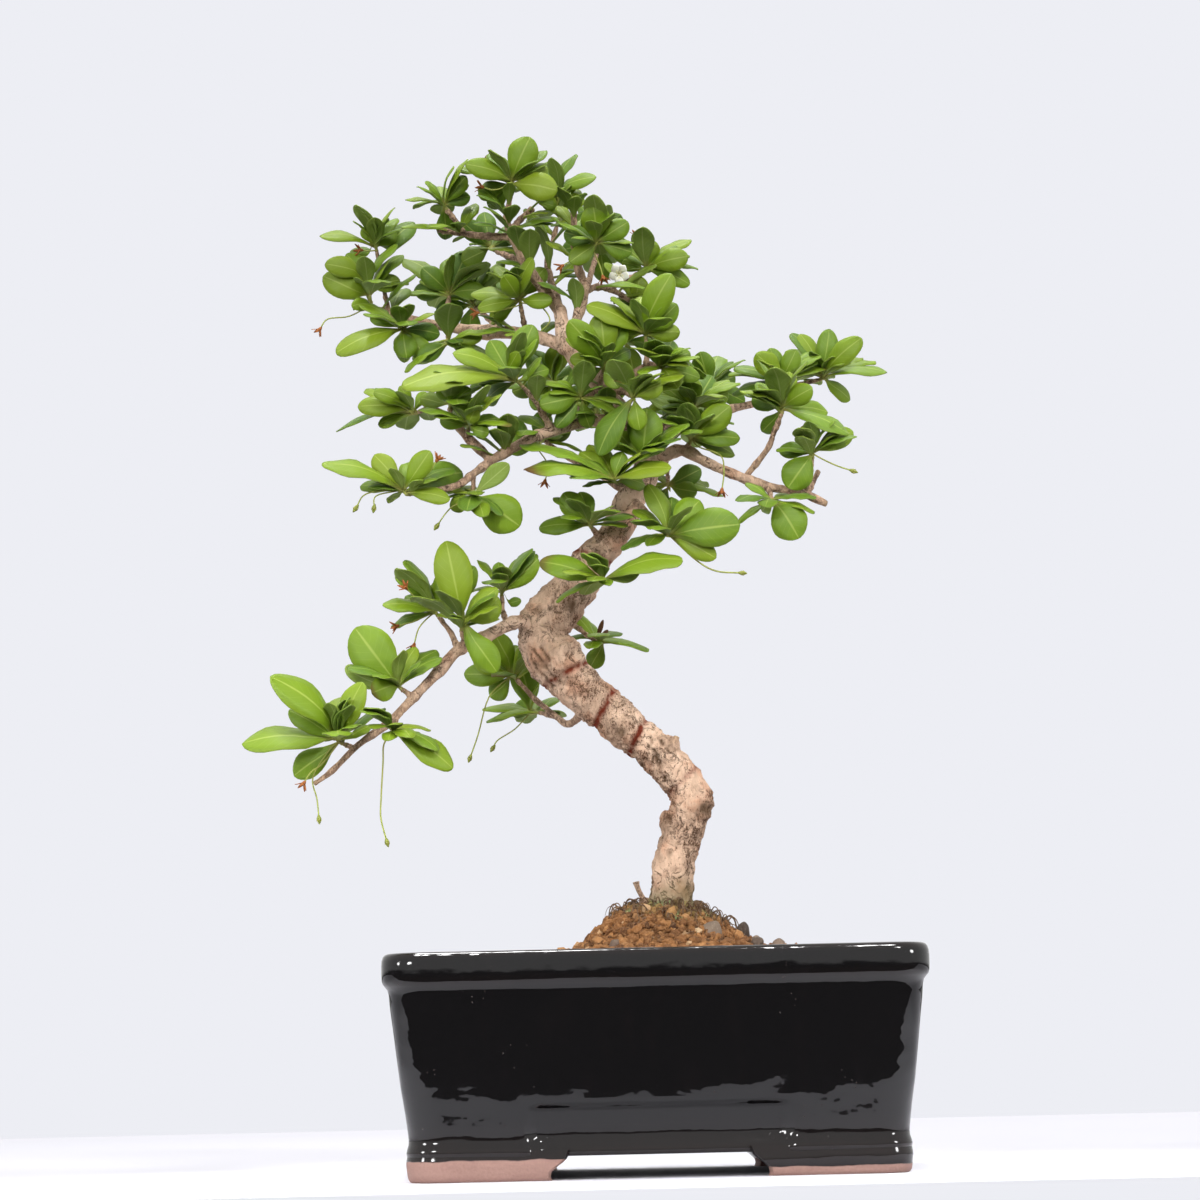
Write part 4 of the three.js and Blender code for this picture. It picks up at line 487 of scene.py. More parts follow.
def blade_samples(blade):
    """Points over the outer part of a blade."""
    rows = ceil(0.75 * blade.length / SAMPLE_STEP)
    columns = ceil(0.9 * blade.width / SAMPLE_STEP)
    share, edge = (part.ravel() for part in np.meshgrid(
        0.25 + 0.75 * np.arange(rows + 1) / rows, 2 * np.arange(columns + 1) / columns - 1, indexing="ij"))
    return blade_point(blade, share, edge, blade_half(blade, share))


def make_blade(base, tip, seen_width, tone, upright=UP):
    length = norm(tip - base)
    axis = (tip - base) / length
    width = max(seen_width, (0.22 if tone == R else BLADE_RATIO) * length)
    lift = unit(upright - axis * upright.dot(axis))
    front = np.array([0, -1.0, 0])
    facing = unit(front - axis * front.dot(axis))
    sideways = np.cross(axis, facing)
    if sideways.dot(lift) < 0:
        sideways = -sideways
    turn = acos(min(1, seen_width / width))
    normal = facing * cos(turn) + sideways * sin(turn) if seen_width > 0 else lift
    if tone == U:
        normal = -normal
    return Record(base=base, tip=tip, length=length, width=width, normal=normal, side=unit(np.cross(normal, axis)),
        tone=tone)


def evenly(points, parts):
    lengths = [norm(b - a) for a, b in zip(points, points[1:])]
    line = []
    for index in range(parts + 1):
        left = index / parts * sum(lengths)
        part = 0
        while part < len(lengths) - 1 and left > lengths[part]:
            left -= lengths[part]
            part += 1
        line.append(points[part] + (points[part + 1] - points[part]) * (left / lengths[part]))
    return line


def stem_of(name):
    """The stem's places, and its rings of four points whose facets carry the leaves."""
    fill, stem, leaves = SHOOTS[name]
    twig = places_of(BRANCHES[name])
    end, end_radius = twig[-1]
    leave = unit(end - twig[-2][0])
    start = end + leave * CLEARANCE
    count = len(leaves) + fill + len(SOLID_STALKS.get(name, []))
    run = [start + leave * SHOOT_FREE] + [seen(*point) for point in stem]
    line = [start] + evenly(run, max(2, ceil(count / 3)))
    radius = min(SHOOT_RADIUS, end_radius * 0.92)
    places = [(point, radius + (SHOOT_TIP_RADIUS - radius) * i / (len(line) - 1)) for i, point in enumerate(line)]
    return places, tube_rings(places, 4, leave, TWISTS.get(name, 0.0))


def facets_of(rings):
    facets = []
    for ring, above in zip(rings[1:-1], rings[2:]):
        for i, after in ((0, 1), (1, 2), (2, 3), (3, 0)):
            corners = [ring[i], ring[after], above[after], above[i]]
            normal = unit(np.cross(corners[1] - corners[0], corners[3] - corners[0]))
            facets.append(Record(middle=sum(corners) / 4, normal=normal))
    return facets


def stalk_places(stem, run):
    first, *points = [seen(*point) for point in run]
    root = min(stem[2:], key=lambda place: norm(place[0] - first))[0]
    return [(point, STALK_RADIUS) for point in [root] + points]


def layers_of(leaves):
    order = sorted(range(len(leaves)), key=lambda i: (TONE_ORDER.index(leaves[i][5]), i))
    return [(order.index(i) - (len(leaves) - 1) / 2) * LAYER_GAP for i in range(len(leaves))]


def keep_blade(room, shoot, blade):
    """The blade takes the free facet that faces it best."""
    place = blade_point(blade, 0.42, 0, 0)
    facings = [facet.normal.dot(unit(place - facet.middle)) for facet in shoot.free]
    blade.root = shoot.free.pop(facings.index(max(facings))).middle
    room.keep(shoot.owner, blade_samples(blade))
    shoot.blades.append(blade)


def place_shown_blade(room, shoot, line, layer, draw):
    """A blade that the picture shows, leaned to the first depth that is free."""
    x0, y0, x1, y1, seen_width, tone = line
    first = 2.4 * layer + between(draw, -2, 2)
    depth = shoot.places[-1][0][1]
    for change in LEANS:
        base = seen(x0, y0, depth + layer + 0.1 * change)
        blade = make_blade(base, seen(x1, y1, base[1] + first + change), seen_width, tone)
        if not room.blocked(shoot.owner, blade_samples(blade)):
            return keep_blade(room, shoot, blade)


def place_fill_blade(room, shoot, draw):
    """A blade by chance, away from or towards the viewer."""
    for _ in range(16):
        facet = shoot.free[int(draw() * len(shoot.free))]
        sway = between(draw, -0.6, 0.6)
        deep = (-1 if draw() < 0.5 else 1) * between(draw, 0.5, 1)
        axis = unit(np.array([sway, deep, between(draw, -0.15, 0.7)]))
        length = LEAF_SIZE * between(draw, 0.8, 1.15)
        base = facet.middle + axis * 1.5
        blade = make_blade(base, base + axis * length, 0, M, np.array([axis[0] * 0.4, axis[1] * 0.4, 1]))
        if facet.normal.dot(axis) > 0.3 and not room.blocked(shoot.owner, blade_samples(blade)):
            return keep_blade(room, shoot, blade)


def place_small_leaf(room, shoot, size, draw):
    """A further leaf in the free places between those that the solids have."""
    stem = shoot.places
    for _ in range(30):
        part = draw() * (len(stem) - 1.001)
        (start, thick), (end, _) = stem[int(part)], stem[int(part) + 1]
        root = start + (end - start) * (part % 1)
        turn = any_turn(draw)
        flat = np.array([cos(turn), sin(turn), between(draw, -0.35, 0.9)])
        axis = unit(flat + unit(stem[-1][0] - stem[0][0]) * 0.5)
        length = size * between(draw, 0.55, 1.0)
        upright = np.array([axis[0] * 0.3, axis[1] * 0.3 - 0.5, 1])
        blade = make_blade(root + axis * (thick + 0.6), root + axis * (thick + length), 0, M, upright)
        samples = blade_samples(blade)
        if (abs(samples) < LEAF_REACH).all() and not room.blocked(shoot.owner, samples):
            room.keep(shoot.owner, samples)
            blade.tone = (M, M, D, B)[int(draw() * 4)]
            blade.root = root
            return shoot.blades.append(blade)


def lay_shoots():
    """Each shoot with its stem and the blades that its rule gives it."""
    room = Room()
    for run in [*BRANCHES.values(), FLOWER]:
        room.keep_tube(-1, places_of(run))
    shoots = []
    for owner, name in enumerate(SHOOTS):
        places, rings = stem_of(name)
        stalks = [stalk_places(places, run) for run in SOLID_STALKS.get(name, [])]
        for tube in [places] + stalks:
            room.keep_tube(owner, tube)
        shoots.append(Record(name=name, owner=owner, places=places, stalks=stalks, free=facets_of(rings), blades=[]))
    for shoot in shoots:
        leaves = SHOOTS[shoot.name][2]
        draw = seeded(100 + shoot.owner)
        for line, layer in zip(leaves, layers_of(leaves)):
            place_shown_blade(room, shoot, line, layer, draw)
    for shoot in shoots:
        draw = seeded(500 + shoot.owner)
        for _ in range(SHOOTS[shoot.name][0]):
            place_fill_blade(room, shoot, draw)
    room.apart = EXTRA_GAPS
    for shoot in shoots:
        draw = seeded(700 + shoot.owner)
        for _ in range(EXTRA_LEAVES):
            place_small_leaf(room, shoot, LEAF_SIZE, draw)
    for index, (name, count) in enumerate(LEAVES_ON_WOOD.items()):
        twig = Record(name=None, owner=100 + index, places=places_of(BRANCHES[name]), blades=[])
        draw = seeded(800 + index)
        for _ in range(count):
            place_small_leaf(room, twig, WOOD_LEAF_SIZE, draw)
        shoots.append(twig)
    return shoots


# Shader maths: a wire is one output socket, and sums on wires add their Math nodes
class Wire:
    def __init__(self, shading, socket):
        self.shading = shading
        self.socket = socket

    def rising(self, low, high):
        """0 below low, 1 above high and a soft step between; the other way round where high is below low."""
        return self.shading.add("MapRange", "Result", {"Value": self, "From Min": low, "From Max": high},
            interpolation_type="SMOOTHSTEP")


def wire_sum(operation, turned=False):
    def result(wire, *others):
        values = (*others, wire) if turned else (wire, *others)
        return wire.shading.add("Math", 0, dict(enumerate(values)), operation=operation)
    return result


for method, rule in {"__add__": ("ADD",), "__radd__": ("ADD", True), "__sub__": ("SUBTRACT",),
        "__rsub__": ("SUBTRACT", True), "__mul__": ("MULTIPLY",), "__abs__": ("ABSOLUTE",), "fraction": ("FRACT",),
        "smaller": ("MINIMUM",)}.items():
    setattr(Wire, method, wire_sum(*rule))


class Shading:
    """The nodes of one material or world."""

    def __init__(self, owner):
        owner.use_nodes = True
        self.owner = owner
        self.tree = owner.node_tree

    def add(self, kind, out, sockets, **settings):
        """A new node, fed and set: the wire of one output or of several, or without outputs the node."""
        node = self.tree.nodes.new("ShaderNode" + kind)
        for key, value in settings.items():
            setattr(node, key, value)
        for name, value in sockets.items():
            self.feed(node.inputs[name], value)
        if isinstance(out, tuple):
            return [Wire(self, node.outputs[name]) for name in out]
        return node if out is None else Wire(self, node.outputs[out])

    def feed(self, socket, value):
        if isinstance(value, Wire):
            self.tree.links.new(value.socket, socket)
        else:
            socket.default_value = (*shown(value), 1.0) if socket.type == "RGBA" else value

    def place(self, stretch=(1, 1, 1)):
        """Object coordinates in metres, stretched."""
        return self.add("Mapping", 0, {"Vector": self.add("TexCoord", "Object", {}), "Scale": stretch})

    def paint(self, name):
        """The three values of a paint on the mesh's points."""
        return self.split(self.add("Attribute", "Color", {}, attribute_name=name))

    def split(self, wire):
        return self.add("SeparateColor", ("Red", "Green", "Blue"), {"Color": wire})

    def noise(self, scale, detail=3.0, roughness=0.55, distortion=0.0, stretch=(1, 1, 1)):
        return self.add("TexNoise", "Fac", {"Vector": self.place(stretch), "Scale": scale, "Detail": detail,
            "Roughness": roughness, "Distortion": distortion})

    def cells(self, scale):
        return self.add("TexVoronoi", "Distance", {"Vector": self.place(), "Scale": scale})

    def mix(self, share, first, second):
        """A colour between two others."""
        return self.add("Mix", 2, {0: share, 6: first, 7: second}, data_type="RGBA")

    def ramp(self, share, *stops):
        wire = self.add("ValToRGB", "Color", {0: share})
        elements = wire.socket.node.color_ramp.elements
        while len(elements) < len(stops):
            elements.new(1.0)
        for element, (place, tint) in zip(elements, stops):
            element.position = place
            element.color = (*shown(tint), 1.0)
        return wire

    def finish(self, tint, rough, bump=None, **constants):
        """The material, its shader fed; bump is a height, a strength and a distance."""
        sockets = {"Base Color": tint, "Roughness": rough}
        if bump:
            sockets["Normal"] = self.add("Bump", "Normal", dict(zip(("Height", "Strength", "Distance"), bump)))
        for name, value in {**sockets, **constants}.items():
            self.feed(self.tree.nodes["Principled BSDF"].inputs[name.replace("_", " ")], value)
        return self.owner


def shown(tint):
    """Linear parts of a colour that is given by its code or by a setting."""
    return colour(tint) if isinstance(tint, str) else tint


def new_finish(name):
    return Shading(bpy.data.materials.new(name))


# Materials
def leaf_material(name, looks, shift):
    """Glossy leaf: the leaf attribute holds tone, chance and underside, the plant one stem, dryness and age."""
    s = new_finish(name)
    tone, chance, under = s.paint("leaf")
    stem, dry, aged = s.paint("plant")
    across, along = s.add("SeparateXYZ", ("X", "Y"), {"Vector": s.add("UVMap", "UV", {}, uv_map="chart")})
    edge = abs(across * 2 - 1)
    mottle = s.noise(260, 4)
    fine = s.noise(1500, 2)
    patch = s.noise(90, 2)
    midrib = edge.rising(0.09, 0.02)
    veins = abs(((along * 8.5 - edge * 2.1 + mottle * 0.25).fraction()) * 2 - 1).rising(0.86, 0.99)
    veins = veins * edge.rising(0.03, 0.2) * edge.rising(1.0, 0.75)
    level = tone + (chance - 0.5) * 0.3 + (mottle - 0.5) * 0.3 + (patch - 0.5) * 0.3 + shift
    green = s.ramp(level, (0.0, looks.leaf_deep), (0.34, looks.leaf_dark), (0.62, looks.leaf_green),
        (1.0, looks.leaf_bright))
    warm = s.mix(chance.rising(0.55, 1.0) * 0.35, green, s.mix(0.55, green, "8a8c26"))
    edged = s.mix(edge.rising(0.8, 1.0) * 0.35, warm, s.mix(0.5, warm, "93a23c"))
    veined = s.mix(veins * 0.28, edged, s.mix(0.6, edged, "93a548"))
    ribbed = s.mix(midrib * 0.5, veined, "a2b055")
    pale = s.mix(under * 0.62, ribbed, s.mix(midrib * 0.5 + veins * 0.25, looks.leaf_under, "a9b57a"))
    husk = s.mix(tone.rising(0.92, 0.98), s.mix(mottle, "3a2016", "74502c"), "985a2c")
    browned = s.mix(dry, pale, husk)
    spots = s.cells(700).rising(0.16, 0.08) * patch.rising(0.62, 0.75) * (1 - under)
    spotted = s.mix(spots * 0.5, browned, "4b3a1c")
    stalk = s.mix(along, s.mix(mottle, "7f8f3c", "a08a55"), "9aa84a")
    tint = s.mix(stem, spotted, s.mix(aged, stalk, s.mix(mottle, "5c4a30", "9b8560")))
    grain = fine * 0.35 + mottle * 0.4 - midrib * 0.5 * (1 - under * 2) - veins * 0.3
    rough = 0.38 + mottle * 0.16 + under * 0.2 + stem * 0.15 + dry * 0.3 + fine * 0.08
    return s.finish(tint, rough, (grain, 0.35, 0.00025), Specular_IOR_Level=0.3, Subsurface_Weight=0.1,
        Subsurface_Radius=(0.0012, 0.0012, 0.0004))


def bark_material(looks):
    """Pale tan bark with rough dark patches, rust-red wire marks, scars, bare cuts and greyer twigs."""
    s = new_finish("trunk_bark")
    mark, scar, young = s.paint("bark")
    # The wood paint holds the crevices with the surface roots' darker colour, the damp foot and the bare cuts; the
    # crevices' dark paint is partly painted shade
    crevice_shade_and_root_tint, damp, cut = s.paint("wood")
    patch = s.paint("patch")[0]
    broad = s.noise(60, 4, 0.6)
    blotch = s.noise(190, 5, 0.65)
    flakes = s.noise(620, 7, 0.72, 0.4, stretch=(1, 1, 0.4))
    fine = s.noise(1500, 4, 0.65)
    streaks = s.noise(700, 4, 0.6, stretch=(1, 1, 0.12))
    grit = s.noise(1500, 5, 0.75, stretch=(1, 1, 0.7))
    base = s.ramp(broad * 0.45 + blotch * 0.35 + streaks * 0.2, (0.34, looks.bark_dark),
        (0.48, looks.bark), (0.6, "e4c6ad"), (0.74, "efd9c4"))
    warm = s.mix(s.noise(95, 4, 0.6).rising(0.48, 0.66) * 0.5, base, "b87650")
    aged = s.mix(blotch.rising(0.54, 0.66) * 0.35, warm, "9c8d79")
    twig = s.mix(young * 0.9, aged, s.mix(flakes.rising(0.38, 0.6), "6b5242", "c2a286"))
    crowd = (blotch - 0.5) * 0.5 + (flakes - 0.5) * 0.4 + patch * 0.09
    speck = (grit + crowd).rising(0.585, 0.7) * (patch * 0.25 + 0.58)
    stain = (patch * 0.6 + blotch.rising(0.5, 0.66) * 0.5) * flakes.rising(0.42, 0.6)
    stained = s.mix(stain * 0.45, twig, "84604a")
    # Fine fissures, sunk by the bump and painted dark brown: partly the darker bark inside, partly painted shade in
    # the grooves
    fissure = abs(s.noise(150, 4, 0.6, 0.8) - 0.5).rising(0.024, 0.002) * broad.rising(0.4, 0.56)
    cracked = s.mix(fissure * 0.75, stained, "4b3526")
    specked = s.mix(speck, cracked, s.mix(fine, "3b291c", "765138"))
    dusted = s.mix(s.cells(800).rising(0.24, 0.1) * blotch.rising(0.42, 0.6) * 0.7, specked, "44322a")
    rusted = s.mix((mark * (0.5 + flakes * 1.3)).smaller(1.0), dusted, s.mix(fine, looks.wire_mark, "5a2013"))
    scarred = s.mix(scar, rusted, s.mix(streaks, "3c2a20", "94765a"))
    # Crevices painted dark brown, partly the darker wood inside and partly painted shade in the grooves; the surface
    # roots take some of it as their own darker colour
    darkened_crevices_and_roots = s.mix(crevice_shade_and_root_tint, scarred, s.mix(streaks, "2c1c13", "7a5a3e"))
    bare = s.mix(cut, darkened_crevices_and_roots, s.mix(flakes, "8a6c4a", "cdb48c"))
    wet = s.mix(damp * 0.7, bare, s.mix(blotch, "4d4428", "747247"))
    height = (flakes * (0.6 + patch * 0.9) + blotch * 0.5 + grit * 0.35 - speck * 0.3 - mark * 0.4 - crevice_shade_and_root_tint * 0.5
        - fissure * 0.6)
    return s.finish(wet, 0.72 + fine * 0.2 - mark * 0.1, (height, 0.9, 0.0013), Specular_IOR_Level=0.2)


def glaze_material(looks):
    """Deep near-black glaze, thin and brown on its edges, over bare clay on the feet's lowest band."""
    s = new_finish("pot_glaze")
    limit, thin, _ = s.paint("glaze")
    height = s.split(s.place())[2]
    bare = (limit * 0.02 - height + (s.noise(70, 3) - 0.5) * 0.002).rising(-0.0002, 0.0002)
    ripple = s.noise(34, 2, 0.5) + s.noise(120, 2, 0.5) * 0.2
    ripple += s.noise(21, 2, 0.5, stretch=(1, 1, 2.6)) * 0.9
    pits = s.cells(420).rising(0.13, 0.05) * s.noise(60, 2).rising(0.56, 0.7)
    fine = s.noise(900, 3)
    bands = s.noise(60, 3, stretch=(1, 1, 5))
    streaks = s.noise(45, 3, stretch=(4, 4, 1)).rising(0.5, 0.75)
    body = s.mix(streaks * 0.3, looks.glaze, "120e0f")
    edge = s.mix((thin * (0.35 + ripple)).smaller(1.0) * 0.7, body, "150d0b")
    spots = s.mix(pits * 0.55, edge, "5a4a44")
    clay = s.mix(fine, looks.clay, "6f5148")
    tint = s.mix(bare, spots, s.mix(bands * 0.5, clay, "a58578"))
    rough = 0.03 + bare * 0.64 + pits * 0.3 + ripple * 0.02 + thin * 0.03
    relief = ripple * 4.2 * (1 - bare) + fine * bare * 0.5 - pits * 0.35
    return s.finish(tint, rough, (relief, 0.35, 0.0006), Specular_IOR_Level=0.42)


def soil_material(looks):
    """Fired clay grains and grit: the grain attribute holds tint, chance and damp moss."""
    s = new_finish("soil")
    tint, chance, moss = s.paint("grain")
    fine = s.noise(1100, 4, 0.6)
    broad = s.noise(120, 3)
    clay = s.ramp(tint * 0.75 + chance * 0.25, (0.0, "2f2018"), (0.25, "5a3922"),
        (0.55, looks.soil), (0.8, "a3764a"), (1.0, "c2ac8c"))
    dusty = s.mix(fine.rising(0.4, 0.75) * 0.4, clay, "b98f63")
    dark = s.mix(broad.rising(0.58, 0.3) * 0.6, dusty, "5a3d26")
    green = s.mix(moss, dark, s.mix(fine, "4d5a2a", "8d9660"))
    return s.finish(green, 0.86 + fine * 0.12, (fine + broad * 0.6, 0.7, 0.0004), Specular_IOR_Level=0.25)


def stone_material():
    """Small stones on the mound, grey to violet by their own chance."""
    s = new_finish("stone")
    tint, chance, _ = s.paint("grain")
    fine = s.noise(900, 5, 0.65)
    grey = s.mix(tint, "41342c", s.mix(chance, "7f6a5b", "b09a84"))
    flecked = s.mix(s.cells(900).rising(0.25, 0.1) * 0.4, grey, "b9a894")
    tint = s.mix(fine * 0.5, flecked, "33291f")
    return s.finish(tint, 0.6 + fine * 0.3, (fine, 0.5, 0.0003), Specular_IOR_Level=0.35)


def moss_material():
    """Grey-green moss tufts."""
    s = new_finish("moss")
    tint, chance, tip = s.paint("grain")
    fine = s.noise(1400, 3)
    green = s.ramp(tint * 0.6 + fine * 0.4, (0.1, "37431f"), (0.5, "66733a"), (0.9, "98a268"))
    dry = s.mix(chance.rising(0.5, 0.9) * 0.7, green, "6a5334")
    return s.finish(s.mix(tip * 0.35, dry, "b9bf95"), 0.9 + fine * 0.08, (fine, 0.4, 0.0003))


def petal_material(looks):
    """White petals with a faint mottle, a yellowish throat and green calyx."""
    s = new_finish("flower_petals")
    part, chance, _ = s.paint("leaf")
    fine = s.noise(900, 3)
    white = s.mix(fine * 0.3, looks.petal, "dfe0cf")
    throat = s.mix(part.rising(0.2, 0.55), white, "d9cf7a")
    green = s.mix(part.rising(0.7, 0.85), throat, s.mix(chance, "7c9440", "98a858"))
    return s.finish(green, 0.5 + fine * 0.15, (fine, 0.25, 0.0002), Subsurface_Weight=0.25,
        Subsurface_Radius=(0.001, 0.001, 0.0008))


def mesh_material():
    """Dark moulded plastic of the drain meshes."""
    s = new_finish("drain_mesh")
    fine = s.noise(1200, 3)
    tint = s.mix(fine, "242427", "36363a")
    return s.finish(tint, 0.5 + fine * 0.2, (fine, 0.3, 0.0002))


def floor_material(looks):
    s = new_finish("studio_floor")
    fine = s.noise(8, 2)
    tint = s.mix(fine * 0.04, looks.floor, "cbc9d0")
    return s.finish(tint, 0.72 + fine * 0.04, Specular_IOR_Level=0.2)


# Meshes
def rows_of(items, name):
    """The triples of one property of a mesh's items."""
    values = np.zeros(len(items) * 3)
    items.foreach_get(name, values)
    return values.reshape(-1, 3)


def millimetres(mesh):
    """A mesh's points in millimetres from the pot's middle."""
    return (rows_of(mesh.vertices, "co") - MIDDLE) / MM


def paint_points(mesh, name, *values):
    """Three values from 0 to 1 for each point of a mesh, which its material reads."""
    layer = mesh.color_attributes.new(name, "FLOAT_COLOR", "POINT")
    layer.data.foreach_set("color", np.stack([*values, np.ones(len(mesh.vertices))], -1).ravel())


class Shape:
    """Points in millimetres from the pot's middle, with faces, a chart and paints, gathered for one piece."""

    def __init__(self):
        self.points, self.faces, self.charts = [], [], []
        self.paints = {}
        self.count = 0

    def add(self, points, faces, chart=(0.0, 0.0), **paints):
        size = len(points)
        self.points.append(np.asarray(points, float))
        self.faces.extend(tuple(corner + self.count for corner in face) for face in faces)
        self.charts.append(np.broadcast_to(chart, (size, 2)))
        for name, values in paints.items():
            values = np.broadcast_to(np.asarray(values, float), (size, 3))
            self.paints.setdefault(name, []).append((self.count, values))
        self.count += size

    def build(self, name, material, flat=False):
        mesh = bpy.data.meshes.new(name)
        mesh.from_pydata((np.concatenate(self.points) * MM + MIDDLE).tolist(), [], self.faces)
        corners = np.zeros(len(mesh.loops), int)
        mesh.loops.foreach_get("vertex_index", corners)
        layer = mesh.uv_layers.new(name="chart")
        layer.data.foreach_set("uv", np.concatenate(self.charts)[corners].ravel())
        for paint, parts in self.paints.items():
            values = np.zeros((self.count, 3))
            for start, part in parts:
                values[start:start + len(part)] = part
            paint_points(mesh, paint, *values.T)
        mesh.materials.append(material)
        mesh.update()
        if not flat:
            mesh.shade_smooth()
        piece = bpy.data.objects.new(name, mesh)
        bpy.context.scene.collection.objects.link(piece)
        return piece


def sleeve_faces(rows, sides):
    """Quads over rings of points, with a cap at each end."""
    faces = []
    for start in range(0, (rows - 1) * sides, sides):
        for here, after in zip(range(sides), [*range(1, sides), 0]):
            faces.append((start + here, start + after, start + after + sides, start + here + sides))
    return faces + [tuple(reversed(range(sides))), tuple(range((rows - 1) * sides, rows * sides))]


def add_tube(shape, places, sides, rounded=True, **paints):
    """A tube whose chart runs along it, with a rounded end unless it was cut."""
    if rounded:
        end, radius = places[-1]
        out = unit(end - places[-2][0])
        places = places + [(end + out * radius * 0.5, radius * 0.8), (end + out * radius * 0.85, radius * 0.4)]
    rings = tube_rings(places, sides)
    chart = [(i / sides, row / (len(rings) - 1)) for row in range(len(rings)) for i in range(sides)]
    shape.add(np.concatenate(rings), sleeve_faces(len(rings), sides), chart, **paints)


def curve_through(places, steps):
    """Places on a smooth curve through a run of points, with their radii."""
    points = np.array([point for point, _ in places])
    radii = np.array([radius for _, radius in places])
    padded = np.concatenate([[2 * points[0] - points[1]], points, [2 * points[-1] - points[-2]]])
    line = []
    for i in range(len(points) - 1):
        p0, p1, p2, p3 = padded[i:i + 4]
        for step in range(steps):
            t = step / steps
            point = 0.5 * (2 * p1 + (p2 - p0) * t + (2 * p0 - 5 * p1 + 4 * p2 - p3) * t ** 2
                + (3 * p1 - p0 - 3 * p2 + p3) * t ** 3)
            line.append((point, radii[i] + (radii[i + 1] - radii[i]) * smooth(0, 1, t)))
    line.append((points[-1], radii[-1]))
    return line


def recalculated(piece):
    """Doubles merged, faces outward."""
    mesh = bmesh.new()
    mesh.from_mesh(piece.data)
    bmesh.ops.remove_doubles(mesh, verts=mesh.verts, dist=1e-6)
    bmesh.ops.recalc_face_normals(mesh, faces=mesh.faces)
    mesh.to_mesh(piece.data)
    mesh.free()
    piece.data.update()
    return piece


def settle(piece, node=None, slot=None):
    """The piece, kept inside the solids' box, rides on the whole and stands for its node; its slot is not used."""
    points = rows_of(piece.data.vertices, "co")
    piece.data.vertices.foreach_set("co", np.clip(points, *FRAME_BOX).ravel())
    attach(piece, "root")
    if node:
        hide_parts(node)


def deselected():
    if bpy.context.mode != "OBJECT":
        bpy.ops.object.mode_set(mode="OBJECT")
    bpy.ops.object.select_all(action="DESELECT")


def alone(piece):
    """Only this piece selected and active, in object mode."""
    deselected()
    piece.select_set(True)
    bpy.context.view_layer.objects.active = piece


def changed(piece, kind, **settings):
    """The piece with a modifier applied."""
    alone(piece)
    change = piece.modifiers.new("change", kind)
    for name, value in settings.items():
        setattr(change, name, value)
    bpy.ops.object.modifier_apply(modifier=change.name)


def fused(piece, tool, operation):
    """The tool joined to the piece, or cut out of it, and removed."""
    changed(piece, "BOOLEAN", operation=operation, object=tool, solver="EXACT")
    bpy.data.objects.remove(tool, do_unlink=True)


def grain_noise(point, scale, seed=0.0):
    return noise.noise(Vector((point[0] * scale + seed, point[1] * scale - seed, point[2] * scale)))


# Leaves
# Places of the tones on the leaf colours; the dark tone is partly the leaves' own colour and partly painted shade
# inside and behind the crown
TONES = {B: 0.86, M: 0.56, D: 0.24, U: 0.6, R: 0.1}
EDGES = np.array([-1, -0.55, 0, 0.55, 1])
# Half width of a leaf from its base to its end, as a share of its largest: tapering base, bluntly pointed end
ROWS, WIDTHS = np.array([(0, 0.07), (0.05, 0.1), (0.11, 0.2), (0.2, 0.42), (0.32, 0.7), (0.45, 0.91), (0.57, 1.0),
    (0.66, 1.0), (0.76, 0.92), (0.85, 0.76), (0.92, 0.57), (0.97, 0.35), (1.0, 0.08)]).T


def slab_faces(rows, columns):
    """Faces over and under a grid of points and round its edge; the lower points follow the upper ones."""
    size = rows * columns
    faces = []
    for a in (row * columns + i for row in range(rows - 1) for i in range(columns - 1)):
        b = a + columns
        faces += [(a, b, b + 1, a + 1), (a + size, a + size + 1, b + size + 1, b + size)]
    around = list(range(columns)) + [row * columns + columns - 1 for row in range(1, rows)]
    around += [size - 1 - i for i in range(1, columns)] + [row * columns for row in range(rows - 2, 0, -1)]
    return faces + [(a, b, b + size, a + size) for a, b in zip(around, around[1:] + around[:1])]


